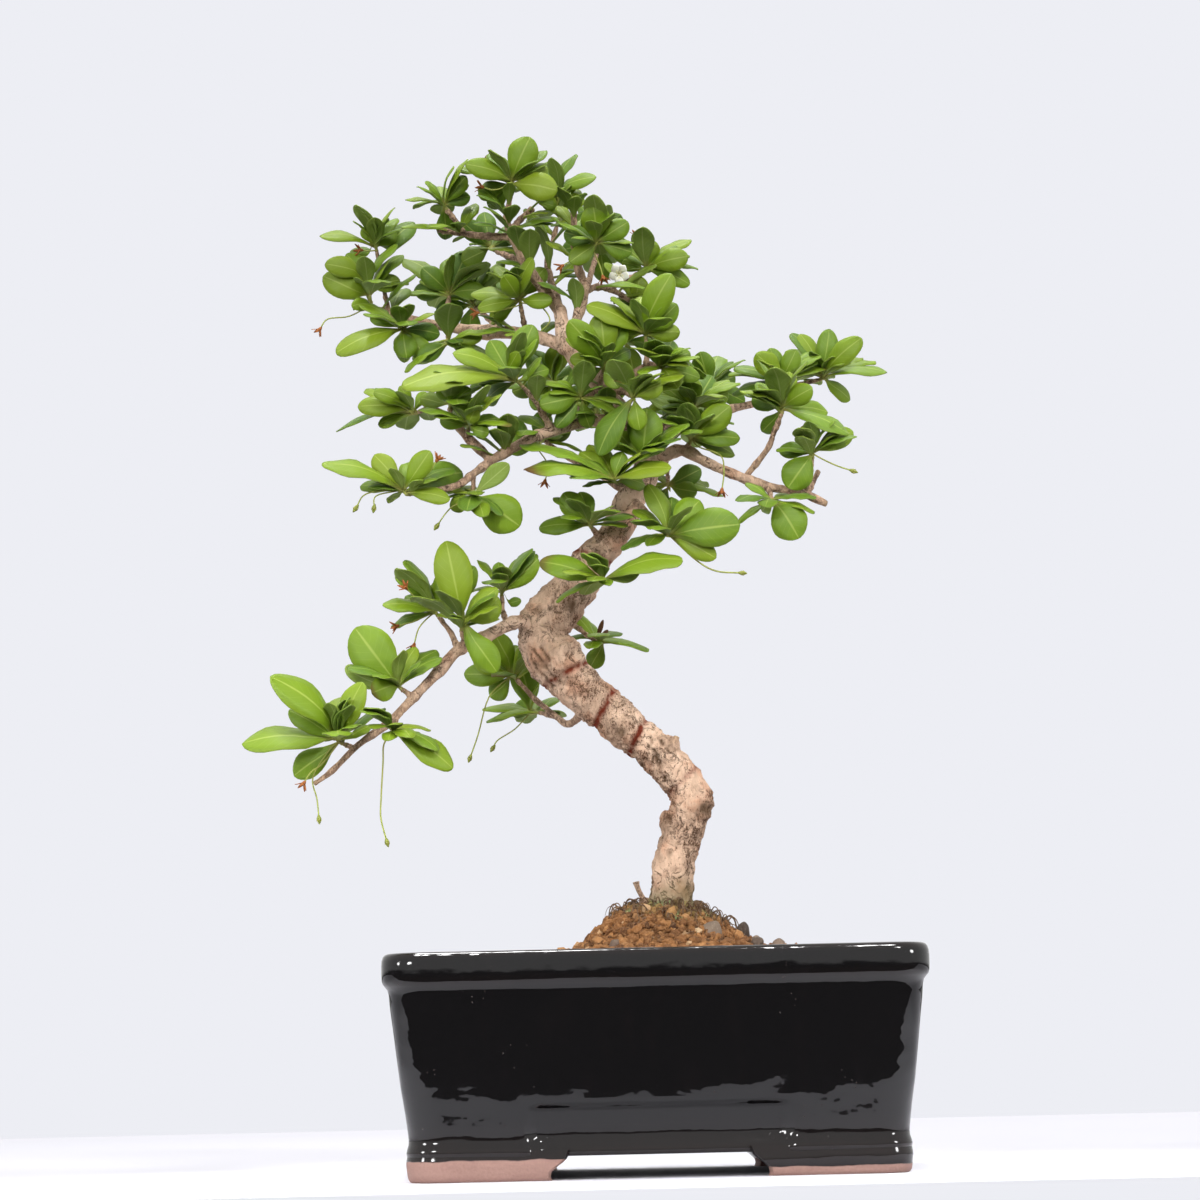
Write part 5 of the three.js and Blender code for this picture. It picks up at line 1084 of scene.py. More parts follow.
def add_leaf(shape, blade, draw, brown=0.0):
    """A thin arched leaf on its stalk, closed all round, in the blade's own place."""
    wave, phase, bend, lean = (between(draw, *limits) for limits in ((0.6, 1.6), (0, 6.3), (-1, 1), (-1, 1)))
    chance = draw()
    share, edge = np.meshgrid(ROWS, EDGES, indexing="ij")
    half = np.maximum(0.2, blade.width / 2 * WIDTHS[:, None] * (1 + 0.05 * lean * edge))
    middle = blade_point(blade, share, np.zeros_like(edge), half)
    start = blade.root - (blade.base - blade.root) * 0.05
    middle = middle + (start - blade.base) * (1 - smooth(0, 0.3, share))[..., None]
    lift = -BLADE_CUP * half * abs(edge) ** 1.35
    ripple = np.sin(2 * np.pi * wave * share * 2 + phase + edge)
    lift += smooth(0.1, 0.4, share) * abs(edge) * blade.width * 0.035 * ripple
    lift -= 0.028 * blade.length * (0.6 + 0.4 * bend) * smooth(0.55, 1.0, share)
    curve = 0.02 * blade.length * bend * np.sin(np.pi * share)
    centre = middle + blade.side * (edge * half + curve)[..., None] + blade.normal * lift[..., None]
    thick = (0.16 + 0.24 * (1 - smooth(0.02, 0.22, share)) + 0.08 * (1 - abs(edge)))[..., None]
    sides = [(centre + blade.normal * thick).reshape(-1, 3), (centre - blade.normal * thick).reshape(-1, 3)]
    chart = np.stack([(edge + 1) / 2, share], -1).reshape(-1, 2)
    tone = TONES[blade.tone] + 0.1 * (draw() - 0.5)
    leaf = np.array([[tone, chance, 0]] * share.size + [[tone, chance, 1]] * share.size)
    dry = 1.0 if blade.tone == R else brown * smooth(0.8, 0.97, share + 0.05 * abs(edge))
    stalk = 0.85 * (1 - smooth(0.02, 0.2, share))
    plant = np.stack([stalk, np.broadcast_to(dry, share.shape), np.zeros_like(share)], -1).reshape(-1, 3)
    shape.add(np.concatenate(sides), slab_faces(*share.shape), np.tile(chart, (2, 1)), leaf=leaf,
        plant=np.tile(plant, (2, 1)))


def across_axis(axis):
    """Two directions square to an axis and to each other."""
    side = unit(np.cross(axis, np.array([1.0, 0, 0]) if abs(axis[0]) < 0.8 else UP))
    return side, np.cross(axis, side)


def turned_profile(shape, place, axis, profile, sides, **paints):
    """A body turned round an axis: its profile is (reach along the axis, radius)."""
    side, across = across_axis(axis)
    around = ring_round(side, across, turns_of(sides))
    rings = [place + axis * reach + around * radius for reach, radius in profile]
    shape.add(np.concatenate(rings), sleeve_faces(len(rings), sides), **paints)


BUD = [(-1.6, 0.34), (-1.0, 0.6), (-0.2, 0.95), (0.6, 0.9), (1.4, 0.55), (2.1, 0.16)]
CALYX = [(-1.0, 0.36), (-0.3, 0.7), (0.4, 0.85), (0.8, 0.5)]
LOBE = [(0, 0.5), (0.35, 1.0), (0.7, 0.7), (1.0, 0.12)]


def add_lobes(shape, place, axis, length, width, spread, **paints):
    """Five narrow pointed lobes that stand round an axis, such as those of a calyx."""
    side, across = across_axis(axis)
    for out in ring_round(side, across, turns_of(5)):
        over = np.cross(axis, out)
        along = unit(axis + out * spread)
        face = unit(np.cross(along, over))
        points = []
        for share, wide in LOBE:
            middle = place + out * 0.35 + along * length * share + axis * 0.5 * share * (1 - share)
            for across_share, depth in ((-1, -0.5), (1, -0.5), (1, 0.5), (-1, 0.5)):
                points.append(middle + over * across_share * width * wide / 2 + face * depth * 0.26)
        shape.add(points, sleeve_faces(len(LOBE), 4), **paints)


# Paints of stems, buds, calyces and flower buds, as the leaf material reads them
def stem_paints(aged=0.0):
    return {"leaf": (0.6, 0.5, 0), "plant": (1, 0, aged)}


BUD_PAINTS = {"leaf": (0.8, 0.4, 0), "plant": (0.5, 0, 0.2)}
HUSK_PAINTS = {"leaf": (1.0, 0.5, 0), "plant": (0, 1, 0)}
WHITE_PAINTS = {"leaf": (1, 1, 1), "plant": (0, 0, 0)}


def add_stalk(shape, places, kind, aged):
    """A thin stalk and what it ends in: a bud, an empty calyx, a white flower bud or, for a tendril, nothing."""
    add_tube(shape, curve_through(places, 5), 6, **stem_paints(aged))
    end = places[-1][0]
    axis = unit(end - places[-2][0])
    if kind in ("bud", "flower_bud"):
        size, paints = (1.25, WHITE_PAINTS) if kind == "flower_bud" else (1.0, BUD_PAINTS)
        turned_profile(shape, end, axis, [(reach * size, radius * size) for reach, radius in BUD], 8, **paints)
        add_lobes(shape, end - axis * 1.1, axis, 2.0, 0.9, 0.32, **stem_paints())
    if kind == "calyx":
        turned_profile(shape, end, axis, CALYX, 8, **HUSK_PAINTS)
        add_lobes(shape, end, axis, 3.4, 1.25, 0.95, **HUSK_PAINTS)


def build_shoot(shoot, slot, material):
    """One shoot: stem with swollen nodes, tip bud, fine leaves and stalks."""
    shape = Shape()
    draw = seeded(900 + shoot.owner)
    name, stem = shoot.name, shoot.places
    start, radius = stem[0]
    leave = unit(stem[1][0] - start)
    line = curve_through([(start - leave * 1.6, radius)] + stem, 3)
    nodes = [(point, size * (1.14 if i % 3 == 1 else 0.92)) for i, (point, size) in enumerate(line)]
    aged = np.repeat(np.linspace(1, 0, len(nodes) + 2) ** 2, 8)
    add_tube(shape, nodes, 8, leaf=(0.6, 0.5, 0), plant=np.stack([np.ones_like(aged), 0 * aged, aged * 0.8], -1))
    tip, tip_radius = stem[-1]
    turned_profile(shape, tip, unit(tip - stem[-2][0]), [(-0.4, tip_radius), (0.8, 0.62), (1.8, 0.4), (2.8, 0.1)], 6,
        leaf=(0.9, 0.3, 0), plant=(0.4, 0, 0))
    for index, blade in enumerate(shoot.blades):
        brown = 0.95 if (name, index) == ("front_middle", 0) else (0.7 if draw() < 0.025 else 0.0)
        add_leaf(shape, blade, draw, brown)
    for places in shoot.stalks:
        add_stalk(shape, places, "bud", 0.1)
    for run, kind in (row[1:] for row in STALKS if row[0] == name):
        places = [(seen(*point), 0.3) for point in run]
        near = min(stem, key=lambda place: norm(place[0] - places[0][0]))
        add_stalk(shape, [(near[0], 0.34)] + places, kind, 0.05)
    settle(shape.build("shoot_" + name, material), "leaves_" + name, slot)


# Wood: the marks that wire has left, as two ends across the trunk, depth and strength
RINGS = [((548, 685), (584, 665), 1, 0.8), ((596, 725), (609, 700), 0, 1.0), ((630, 752), (641, 730), -2, 1.0),
    ((679, 785), (692, 772), -3, 0.45), ((590, 556), (606, 562), 4, 0.6)]
# Knots and scars of the front of the trunk: x, y, reach, how far the rim stands up, how dark the middle is
KNOTS = points_in("""
620 731 4.4 0.9 0.15, 621 733 2.2 0.5 1.0, 572 653 4.4 1.1 0.25, 545 626 1.7 0.7 0.5, 539 609 1.4 0.7 0.4,
571 605 2.4 0.3 1.0, 706 809 3.4 0.8 1.0, 667 820 2.6 0.8 0.7, 600 662 1.6 0.5 0.5, 597 552 2.0 0.3 0.7,
604 640 1.8 0.5 0.2, 543 664 3.6 0.4 0.7, 670 852 1.2 0.2 0.8, 655 757 2.0 0.5 0.5, 690 870 1.6 0.4 0.4
""")
# Crevices of the trunk's front: runs of places in the picture, cut in and painted dark, partly the darker wood inside
# and partly painted shade in the grooves
CREVICES = [points_in(run) for run, in table_rows("""
557 590, 553 600, 556 609; 569 594, 573 604, 572 616; 578 590, 583 600; 549 608, 557 613, 566 612; 561 597, 565 608;
650 737, 657 757, 664 781; 658 738, 664 746, 671 752; 653 745, 662 765; 598 739, 615 755, 636 771;
637 761, 653 780, 669 798; 645 775, 662 795; 530 655, 538 669, 553 686; 535 650, 546 668, 560 682; 541 648, 552 664;
""")]
# Swellings that the trunk has grown: both ends as in a branch
BULGES = [((650, 752, -1, 14), (669, 745, -4, 9.5)), ((559, 652, -1, 17), (567, 672, -2, 15)),
    ((596, 563, 0, 8), (586, 587, 0, 10)), ((586, 587, 0, 10), (571, 607, 0, 11)),
    ((571, 607, 0, 11), (561, 624, 0, 10)), ((673, 826, -1, 12), (668, 819, -3, 7))]
LIMBS = """trunk spur lower_left right_low right_high left_middle left_high top_left top_right top_middle
    left_middle_upper left_middle_lower crown_right behind_low knob right_fork front_low crown_front crown_back
    back_middle back_right left_middle_front front_middle""".split()
BARE_ENDS = """spur lower_left lower_left_stub right_low right_low_stub top_left_rough top_left_cut
    top_right""".split()
TRUNK_FOOT = seen(672, 890, 0)


def nearest_run(points, runs):
    """The radius of the nearest branch at each point."""
    best = np.full(len(points), 1e9)
    radius = np.zeros(len(points))
    for places in runs:
        for (start, r0), (end, r1) in zip(places, places[1:]):
            line = end - start
            share = np.clip((points - start) @ line / line.dot(line), 0, 1)
            thick = r0 + (r1 - r0) * share
            gap = norm(points - start - share[:, None] * line, axis=1) - thick
            closer = gap < best
            best[closer] = gap[closer]
            radius[closer] = thick[closer]
    return radius


def ring_marks(points):
    """How strongly each point lies in one of the rust-red marks that wire has left round the wood."""
    strength = np.zeros(len(points))
    for (x0, y0), (x1, y1), depth, weight in RINGS:
        start, end = seen(x0, y0, depth), seen(x1, y1, depth)
        middle = (start + end) / 2
        off = (points - middle) @ unit(np.cross(end - start, np.array([0, 1.0, 0])))
        near = norm(points - middle, axis=1) < 15
        strength = np.maximum(strength, near * weight * np.exp(-(off / 1.15) ** 2))
    return strength


def sight_gap(points, x, y):
    """How far each point lies from the line of sight through one place of the picture."""
    line = unit(seen(x, y, 0) - EYE)
    away = points - EYE
    return norm(away - np.outer(away @ line, line), axis=1)


def crevice_gap(points):
    """How far each point lies from the nearest crevice, as the picture shows them."""
    best = np.full(len(points), 1e9)
    for run in CREVICES:
        for (x0, y0), (x1, y1) in zip(run, run[1:]):
            steps = ceil(hypot(x1 - x0, y1 - y0) / 2.2)
            for share in np.arange(steps + 1) / steps:
                x, y = x0 + (x1 - x0) * share, y0 + (y1 - y0) * share
                x += 2.5 * grain_noise((x, y, 0), 0.15)
                best = np.minimum(best, sight_gap(points, x, y))
    return best


def knot_marks(points, front):
    """Relief and darkness of the knots and scars."""
    relief = np.zeros(len(points))
    dark = np.zeros(len(points))
    for x, y, reach, rise, middle in KNOTS:
        gap = sight_gap(points, x, y)
        rim = np.exp(-((gap - reach) / (0.42 * reach)) ** 2)
        centre = np.exp(-(gap / (0.72 * reach)) ** 4)
        relief += front * (rise * rim - 0.5 * rise * centre)
        dark = np.maximum(dark, front * middle * (centre + 0.35 * rim))
    return relief, dark.clip(0, 1)


def noise_of(points, scale, seed, stretch=1.0):
    return np.array([grain_noise((x, y, z * stretch), scale, seed) for x, y, z in points])


def dress_wood(piece, names, coarse):
    """Bark relief in the mesh, and the paints that the bark material reads."""
    mesh = piece.data
    runs = [places_of(BRANCHES[name]) for name in names]
    points, normals = millimetres(mesh), rows_of(mesh.vertex_normals, "vector")
    radius = nearest_run(points, runs)
    thick = smooth(1.0, 6.0, radius)
    front = smooth(0.25, -0.25, normals[:, 1]) * smooth(2.5, 5, radius)
    marks = ring_marks(points)
    knots, scar = knot_marks(points, front)
    # Crevices cut in along the picture's runs and painted dark through the wood paint: partly the darker wood inside,
    # partly painted shade in the grooves
    crack = front * np.exp(-(crevice_gap(points) / 0.55) ** 2) * smooth(-0.5, -0.1, noise_of(points, 0.45, 23.0))
    lumps = noise_of(points, 0.1, 7.0)
    patch = smooth(-0.02, 0.22, noise_of(points, 0.085, 17.0)) * (1 - 0.85 * smooth(4.2, 3.0, radius))
    patch *= 1 - 0.8 * smooth(236, 246, points[:, 2]) * smooth(285, 270, points[:, 2])
    patch = np.maximum(patch, np.exp(-(sight_gap(points, 572, 600) / 9) ** 4))
    rough = noise_of(points, 0.42, 0.0, 0.5)
    flakes = noise_of(points, 1.0, 3.0, 0.7)
    knolls = noise_of(points, 0.27, 11.0, 0.8)
    relief = thick * (0.8 * lumps + 0.65 * knolls + (0.4 + 0.5 * patch) * rough + (0.2 + 0.34 * patch) * flakes)
    relief += coarse * (0.35 * rough + 0.2 * flakes) * smooth(0.3, 1.0, radius)
    relief += knots * thick - 0.5 * marks * thick - 0.9 * crack
    points = points + normals * relief[:, None]
    mesh.vertices.foreach_set("co", (points * MM + MIDDLE).ravel())
    mesh.update()
    cuts = np.zeros(len(points))
    for places in runs:
        cuts = np.maximum(cuts, np.exp(-(norm(points - places[-1][0], axis=1) / 1.5) ** 4))
    low = smooth(9, -5, points[:, 2] - TRUNK_FOOT[2] - 6 * lumps)
    full = np.ones(len(points))
    for name, values in {"bark": [marks * (0.9 + rough), scar * 0.9, smooth(3.1, 1.0, radius)],
            "wood": [crack * 0.9, low, cuts * 0.7 * smooth(0.7, 1.2, radius)], "patch": [patch, full, full]}.items():
        paint_points(mesh, name, *np.clip(values, 0, 1))


def branch_tubes(names, sides, steps):
    """Tubes along branches, with the swellings that old leaf bases leave on a twig."""
    shape = Shape()
    draw = seeded(61)
    for name in names:
        places = places_of(BRANCHES[name])
        line = curve_through(places, steps)
        if places[0][1] < 3.2:
            line[2:] = [(point, radius * (1 + (0.24 if draw() < 0.3 else 0.0) + 0.08 * (draw() - 0.5)))
                for point, radius in line[2:]]
        add_tube(shape, line, sides, name not in BARE_ENDS)
    return shape


class BONSAI_OT_wood(bpy.types.Operator):
    """Trunk and limbs grown together under one bark, and the thin twigs on them"""

    bl_idname = "bonsai.wood"
    bl_label = "Wood"

    def execute(self, context):
        looks = context.scene.bonsai_looks
        bark = bark_material(looks)
        blank = bpy.data.materials.new("blank")
        solid_wood = branch_tubes(LIMBS, 20, 4)
        for first, last in BULGES:
            places = places_of([first, [(a + b) / 2 for a, b in zip(first, last)], last])
            add_tube(solid_wood, curve_through(places, 4), 16)
        limbs = solid_wood.build("trunk_and_limbs", blank)
        alone(limbs)
        limbs.data.remesh_voxel_size = looks.bark_grain
        limbs.data.remesh_voxel_adaptivity = 0
        bpy.ops.object.voxel_remesh()
        changed(limbs, "SMOOTH", factor=0.5, iterations=3)
        limbs.data.materials.clear()
        limbs.data.materials.append(bark)
        dress_wood(limbs, LIMBS, 0.3)
        limbs.data.shade_smooth()
        settle(limbs, "wood", "bark")
        thin = [name for name in BRANCHES if name not in LIMBS]
        twigs = branch_tubes(thin, 10, 8).build("twigs", bark)
        dress_wood(twigs, thin, 1.0)
        settle(twigs, "wood", "bark")
        bpy.data.materials.remove(blank)
        return {"FINISHED"}


class BONSAI_OT_shoots(bpy.types.Operator):
    """Leafy shoots, one piece each, in the places of the solids they stand for"""

    bl_idname = "bonsai.shoots"
    bl_label = "Leafy shoots"

    def execute(self, context):
        looks = context.scene.bonsai_looks
        slots = {row["node"]: row["material_slot"] for row in frame["record"]["subparts"]}
        # The three leaf finishes are one leaf shifted lighter or darker; the dark one is partly painted shade inside
        # and behind the crown
        shifts = {"leaf_bright": 0.06, "leaf_green": 0.0, "leaf_dark": -0.05}
        materials = {slot: leaf_material(slot, looks, shift) for slot, shift in shifts.items()}
        inner = Shape()
        draw = seeded(999)
        for shoot in lay_shoots():
            if shoot.name:
                slot = slots["leaves_" + shoot.name]
                build_shoot(shoot, slot, materials[slot])
            else:
                for blade in shoot.blades:
                    add_leaf(inner, blade, draw)
        # The leaves on the crown's inner wood take the dark finish: partly their own colour, partly painted shade
        # inside the crown
        settle(inner.build("leaves_on_wood", materials["leaf_dark"]), None, "leaf_dark")
        return {"FINISHED"}


def add_petal(shape, place, out, along, **paints):
    """One petal that spreads one way from the throat, as a slab that curves back."""
    over = np.cross(out, along)
    points = []
    for thick in (0.12, -0.12):
        for share in (0, 0.2, 0.45, 0.7, 0.88, 1.0):
            wide = 1.9 * sqrt(max(0.03, 1 - ((share - 0.55) / 0.5) ** 2)) if share > 0.1 else 0.8
            for edge in (-1, -0.5, 0, 0.5, 1):
                reach = 0.9 + 3.5 * share - 0.5 * edge * edge * share
                rise = 2.3 + 0.9 * sin(share * 2.6) - 0.35 * abs(edge) + thick
                points.append(place + out * rise + along * reach + over * edge * wide)
    shape.add(points, slab_faces(6, 5), **paints)


class BONSAI_OT_flower(bpy.types.Operator):
    """The open white flower with its throat, stamens, calyx and stalk"""

    bl_idname = "bonsai.flower"
    bl_label = "Flower"

    def execute(self, context):
        shape = Shape()
        green, white, yellow, anther = ({"leaf": (part, chance, 0)} for part, chance in (
            (1.0, 0.4), (0.0, 0.5), (0.4, 0.5), (0.45, 0.5)))
        places = places_of(FLOWER)
        back = places[2][0]
        out = unit(places[0][0] - back)
        stalk = [(point, min(radius, 0.55)) for point, radius in places[2:]]
        add_tube(shape, curve_through(stalk, 5), 8, **green)
        throat = [(-0.6, 0.45), (0.2, 0.85), (1.4, 1.25), (2.2, 1.3), (2.4, 0.7), (1.6, 0.35)]
        turned_profile(shape, back, out, throat, 12, **yellow)
        add_lobes(shape, back, out, 2.6, 1.2, 0.45, **green)
        side = unit(np.cross(out, UP))
        for along in ring_round(side, np.cross(out, side), turns_of(5) + 0.3):
            add_petal(shape, back, out, along, **white)
            stamen = back + out * 2.0 + along * 0.5
            add_tube(shape, [(stamen, 0.12), (stamen + out * 1.9 + along * 0.9, 0.1)], 5, **white)
            turned_profile(shape, stamen + out * 2.1 + along * 1.0, out, [(-0.4, 0.1), (0, 0.3), (0.4, 0.12)], 5,
                **anther)
        piece = recalculated(shape.build("open_flower", petal_material(context.scene.bonsai_looks)))
        settle(piece, "flower", "petals")
        return {"FINISHED"}


# Soil: its height at the walls, the slope above and the mound round the trunk, in millimetres
SOIL_EDGE = 82.5
SOIL_SHOULDER = 87
MOUND_RISE = 18
MOUND_X = 1.5
TRUNK_X = 7
RIM_X, RIM_Y = 104, 77.5
# Stones that show on the mound: x, y, depth, size, tint
STONES = [(743, 933, -8, 3.6, 0.0), (757, 941, -20, 2.8, 0.2), (779, 942, -22, 2.8, 0.75), (711, 933, -22, 4.4, 0.45)]
ROOT_STUB = [(647, 905, -8, 2.4), (640, 893, -10, 2), (637, 886, -11, 2.2), (636, 882, -11, 2.8)]


def soil_height(x, y):
    far = np.hypot((x - MOUND_X) / np.where(x < MOUND_X, 28, 36), y / 34)
    shoulder = SOIL_EDGE + (SOIL_SHOULDER - SOIL_EDGE) * (1 - smooth(1.1, 2.2, far))
    return shoulder + MOUND_RISE * (1 - smooth(0.3, 1.32, far))


def on_soil(turn, far, sunk):
    """A place in the soil's top, a way out from the trunk's foot."""
    x, y = TRUNK_FOOT[0] + far * cos(turn), TRUNK_FOOT[1] + far * sin(turn)
    return np.array([x, y, soil_height(x, y) - sunk])


def pot_outline(inset, radius, straight=10, corner=6):
    """Points round a rectangle with rounded corners, drawn in from the pot's rim."""
    signs = ((1, 1), (-1, 1), (-1, -1), (1, -1))
    half = np.array([RIM_X, RIM_Y]) - inset - radius

    def corner_point(index, share):
        turn = (index + share) * pi / 2
        return half * signs[index % 4] + radius * np.array([cos(turn), sin(turn)])

    points = []
    for index in range(4):
        points += [corner_point(index, step / corner) for step in range(corner + 1)]
        begin, end = points[-1], corner_point(index + 1, 0)
        points += [begin + (end - begin) * (step / straight) for step in range(1, straight)]
    return np.array(points)


def soil_bed(material):
    """The filling: flat foot, sides along the pot's wall, and a crumbly top that heaps up at the trunk."""
    shape = Shape()
    foot = pot_outline(16.5, 7)
    edge = pot_outline(9.4, 7)
    rings = [np.column_stack([foot, np.full(len(foot), 15.3)])]
    for share in np.linspace(1, 0.03, 34):
        flat = np.column_stack([TRUNK_X + (edge[:, 0] - TRUNK_X) * share, edge[:, 1] * share])
        height = soil_height(flat[:, 0], flat[:, 1]) - 1.1
        rough = np.array([1.6 * grain_noise((x, y, 0), 0.13) + 0.9 * grain_noise((x, y, 9), 0.45) for x, y in flat])
        rings.append(np.column_stack([flat, height + rough * smooth(1.0, 0.95, share)]))
    points = np.concatenate(rings)
    damp = smooth(26, 12, np.hypot(points[:, 0] - TRUNK_X, points[:, 1]))
    paint = np.stack([np.full(len(points), 0.45), np.full(len(points), 0.4), damp * 0.35], -1)
    shape.add(points, sleeve_faces(len(rings), len(foot)), grain=paint)
    settle(shape.build("soil_bed", material), "soil", "soil")


def ball(level):
    """Points and faces of a unit ball."""
    mesh = bmesh.new()
    bmesh.ops.create_icosphere(mesh, subdivisions=level, radius=1.0)
    points = np.array([vertex.co[:] for vertex in mesh.verts])
    faces = [tuple(vertex.index for vertex in face.verts) for face in mesh.faces]
    mesh.free()
    return points, faces


def add_grain(shape, source, place, size, draw, paint, lumpy=0.28):
    """A lumpy ball, squashed and turned by chance."""
    points, faces = source
    scale = np.array([between(draw, 0.8, 1.2), between(draw, 0.75, 1.1), between(draw, 0.6, 0.95)]) * size
    seed = draw() * 40
    bumps = np.array([1 + lumpy * grain_noise(point, 1.3, seed) for point in points])
    spin = Matrix.Rotation(between(draw, 0, 6.28), 3, Vector((draw() - 0.5, draw() - 0.5, draw() - 0.5 + 1e-3)))
    shape.add(points * bumps[:, None] * scale @ np.array(spin).T + place, faces, grain=paint)


def soil_grains(name, material, count, on_mound, sizes, seed):
    """Fired clay grains that cover the bed, finer on the mound."""
    draw = seeded(seed)
    shape = Shape()
    source = ball(1)
    edge = 9.6
    for _ in range(count):
        if on_mound:
            far = 9 + 40 * draw() ** 0.8
            turn = any_turn(draw)
            x, y = 2 + far * cos(turn) * 1.1, far * sin(turn)
        else:
            x, y = between(draw, edge - RIM_X, RIM_X - edge), between(draw, edge - RIM_Y, RIM_Y - edge)
        size = between(draw, *sizes) * (1.5 if draw() < 0.1 else 1)
        if max(abs(x) - RIM_X, abs(y) - RIM_Y) > -edge - size:
            x, y = x * 0.96, y * 0.95
        near = hypot(x - TRUNK_X, y)
        if near < 9:
            continue
        height = soil_height(x, y) - 1.1 + 0.45 * size
        tint, chance = between(draw, 0.3, 0.75), draw()
        tint = between(draw, 0.8, 1.0) if chance > 0.92 else between(draw, 0.0, 0.25) if chance < 0.2 else tint
        moss = 0.55 * smooth(24, 12, near) * draw()
        add_grain(shape, source, (x, y, height), size, draw, (tint, draw(), moss))
    settle(shape.build(name, material, True), None, "soil")


def seeded_pebbles():
    """The pebbles of the solid, by its own seeded rule."""
    draw = seeded(11)
    for _ in range(5 * 32):
        draw()
    for _ in range(4):
        turn = any_turn(draw)
        far = between(draw, 0.95, 1.5)
        x, y = MOUND_X + 36 * far * cos(turn), 34 * far * sin(turn)
        size = between(draw, 1.6, 3.4)
        draw()
        yield x, y, soil_height(x, y) + size * 0.25, size, 0.6


def stones():
    """The seeded pebbles and the four stones that show on the mound."""
    draw = seeded(31)
    shape = Shape()
    placed = list(seeded_pebbles())
    for x, y, depth, size, tint in STONES:
        x, y, z = seen(x, y, depth)
        placed.append((x, y, min(z, soil_height(x, y) + size * 0.5), size, tint))
    source = ball(4)
    for x, y, z, size, tint in placed:
        add_grain(shape, source, (x, y, z), size * 1.05, draw, (tint, draw(), 0), 0.22)
    settle(shape.build("stones", stone_material()), None, "soil")


def moss(material):
    """Short moss tufts and cushions on the mound round the trunk's foot."""
    draw = seeded(41)
    shape = Shape()
    for _ in range(9000):
        turn = any_turn(draw)
        far = 7.6 + 15 * draw() ** 2
        base = on_soil(turn, far, 0.9)
        if grain_noise((base[0], base[1], 0), 0.16, 5.0) + (0.3 if far < 11 else -0.1) < 0.02:
            continue
        lean = np.array([between(draw, -0.7, 0.7), between(draw, -0.7, 0.7), 1.0])
        height = between(draw, 0.9, 2.6) * (1.25 if far < 10 else 0.8)
        wide = between(draw, 0.14, 0.28)
        corners = [base + wide * np.array([cos(a), sin(a), 0]) for a in (turn, turn + 2.1, turn + 4.2)]
        paint = [[draw(), draw(), 0]] * 3 + [[0.6, 0.4, 1]]
        shape.add(corners + [base + lean * height], [(0, 1, 3), (1, 2, 3), (2, 0, 3), (0, 2, 1)], grain=paint)
    cushion = ball(3)
    for _ in range(40):
        turn, far = any_turn(draw), between(draw, 7.5, 14)
        add_grain(shape, cushion, on_soil(turn, far, 1.2), between(draw, 1.2, 2.4), draw, (0.3, 0.4, 0.1), 0.4)
    settle(shape.build("moss", material), None, "soil")


def roots(material):
    """Thin surface roots that leave the trunk's foot and dive into the mound, fibres, and the cut stub of a root."""
    draw = seeded(51)
    shape = Shape()
    for index in range(64):
        turn = 2 * pi * (index + draw()) / 64
        reach = between(draw, 8, 34)
        thick = between(draw, 0.18, 0.5) if index % 9 else 0.9
        places = []
        for share in np.arange(9) / 8:
            sunk = 1.0 - thick * 0.5 - 0.9 * sin(share * 7 + index) + 2.5 * (share > 0.95)
            place = on_soil(turn + 0.5 * sin(share * 3 + index), 6 + reach * share, sunk)
            places.append((place, thick * (1.1 - 0.7 * share)))
        add_tube(shape, curve_through(places, 2), 6, bark=(0, 0, 1), wood=(0.5, 0.1, 0), patch=(1, 1, 1))
    for _ in range(230):
        turn, far = any_turn(draw), between(draw, 7, 22)
        start = on_soil(turn, far, 1.2)
        out = np.array([cos(turn), sin(turn), 0])
        reach, rise = between(draw, 2, 7), between(draw, 1, 4.2)
        side = np.array([-out[1], out[0], 0]) * between(draw, -4, 4)
        thick = between(draw, 0.12, 0.36)
        places = [(start + out * reach * ahead + side * beside + (0, 0, rise * above), thick * left) for
            ahead, beside, above, left in ((0, 0, 0, 1), (0.4, 0.5, 1, 1), (0.75, 1, 0.7, 0.8), (1, 0.6, -0.6, 0.5))]
        add_tube(shape, curve_through(places, 4), 5, bark=(0, 0, 1), wood=(0.6, 0.1, 0), patch=(1, 1, 1))
    add_tube(shape, curve_through(places_of(ROOT_STUB), 4), 10, False, bark=(0, 0, 0.4), wood=(0, 0.1, 0),
        patch=(0.7, 1, 1))
    settle(shape.build("surface_roots", material), None, "bark")


class BONSAI_OT_soil(bpy.types.Operator):
    """Soil bed with its grains, stones, moss and surface roots"""

    bl_idname = "bonsai.soil"
    bl_label = "Soil and moss"

    def execute(self, context):
        material = soil_material(context.scene.bonsai_looks)
        soil_bed(material)
        soil_grains("mound_grains", material, 5200, True, (0.4, 1.0), 21)
        soil_grains("bed_grains", material, 6500, False, (0.9, 2.1), 22)
        stones()
        moss(moss_material())
        roots(bpy.data.materials["trunk_bark"])
        return {"FINISHED"}


# Pot: how far its wall is drawn in from the rim at each height, outside from the table up and inside down
OUTSIDE = points_in("""
8.8 9, 8.35 9.8, 8.2 11, 8.5 12.5, 8.95 14, 9.1 15.5, 8.95 17.5, 8.7 19.5, 8.4 22, 8.15 24, 8.0 25.2, 7.85 26.2,
7.7 27.2, 7.55 28.2, 7.4 29.2, 7.2 30.5, 6.5 35, 5.7 42, 4.8 50, 3.9 58, 3.1 64.5, 2.75 68, 2.6 70.6, 2.2 72.3,
1.3 73.4, 0.55 74.4, 0.15 75.8, 0.0 78, 0.0 81.4, 0.15 83.2, 0.6 84.7, 1.3 85.6, 2.3 86
""")
INSIDE = points_in("""
6.2 86, 7.2 85.6, 8.0 84.6, 8.5 83, 9.3 74, 10.6 60, 12.3 42, 14.6 24, 15.6 18.5, 16.6 16.2, 18.6 15.2, 24 15
""")
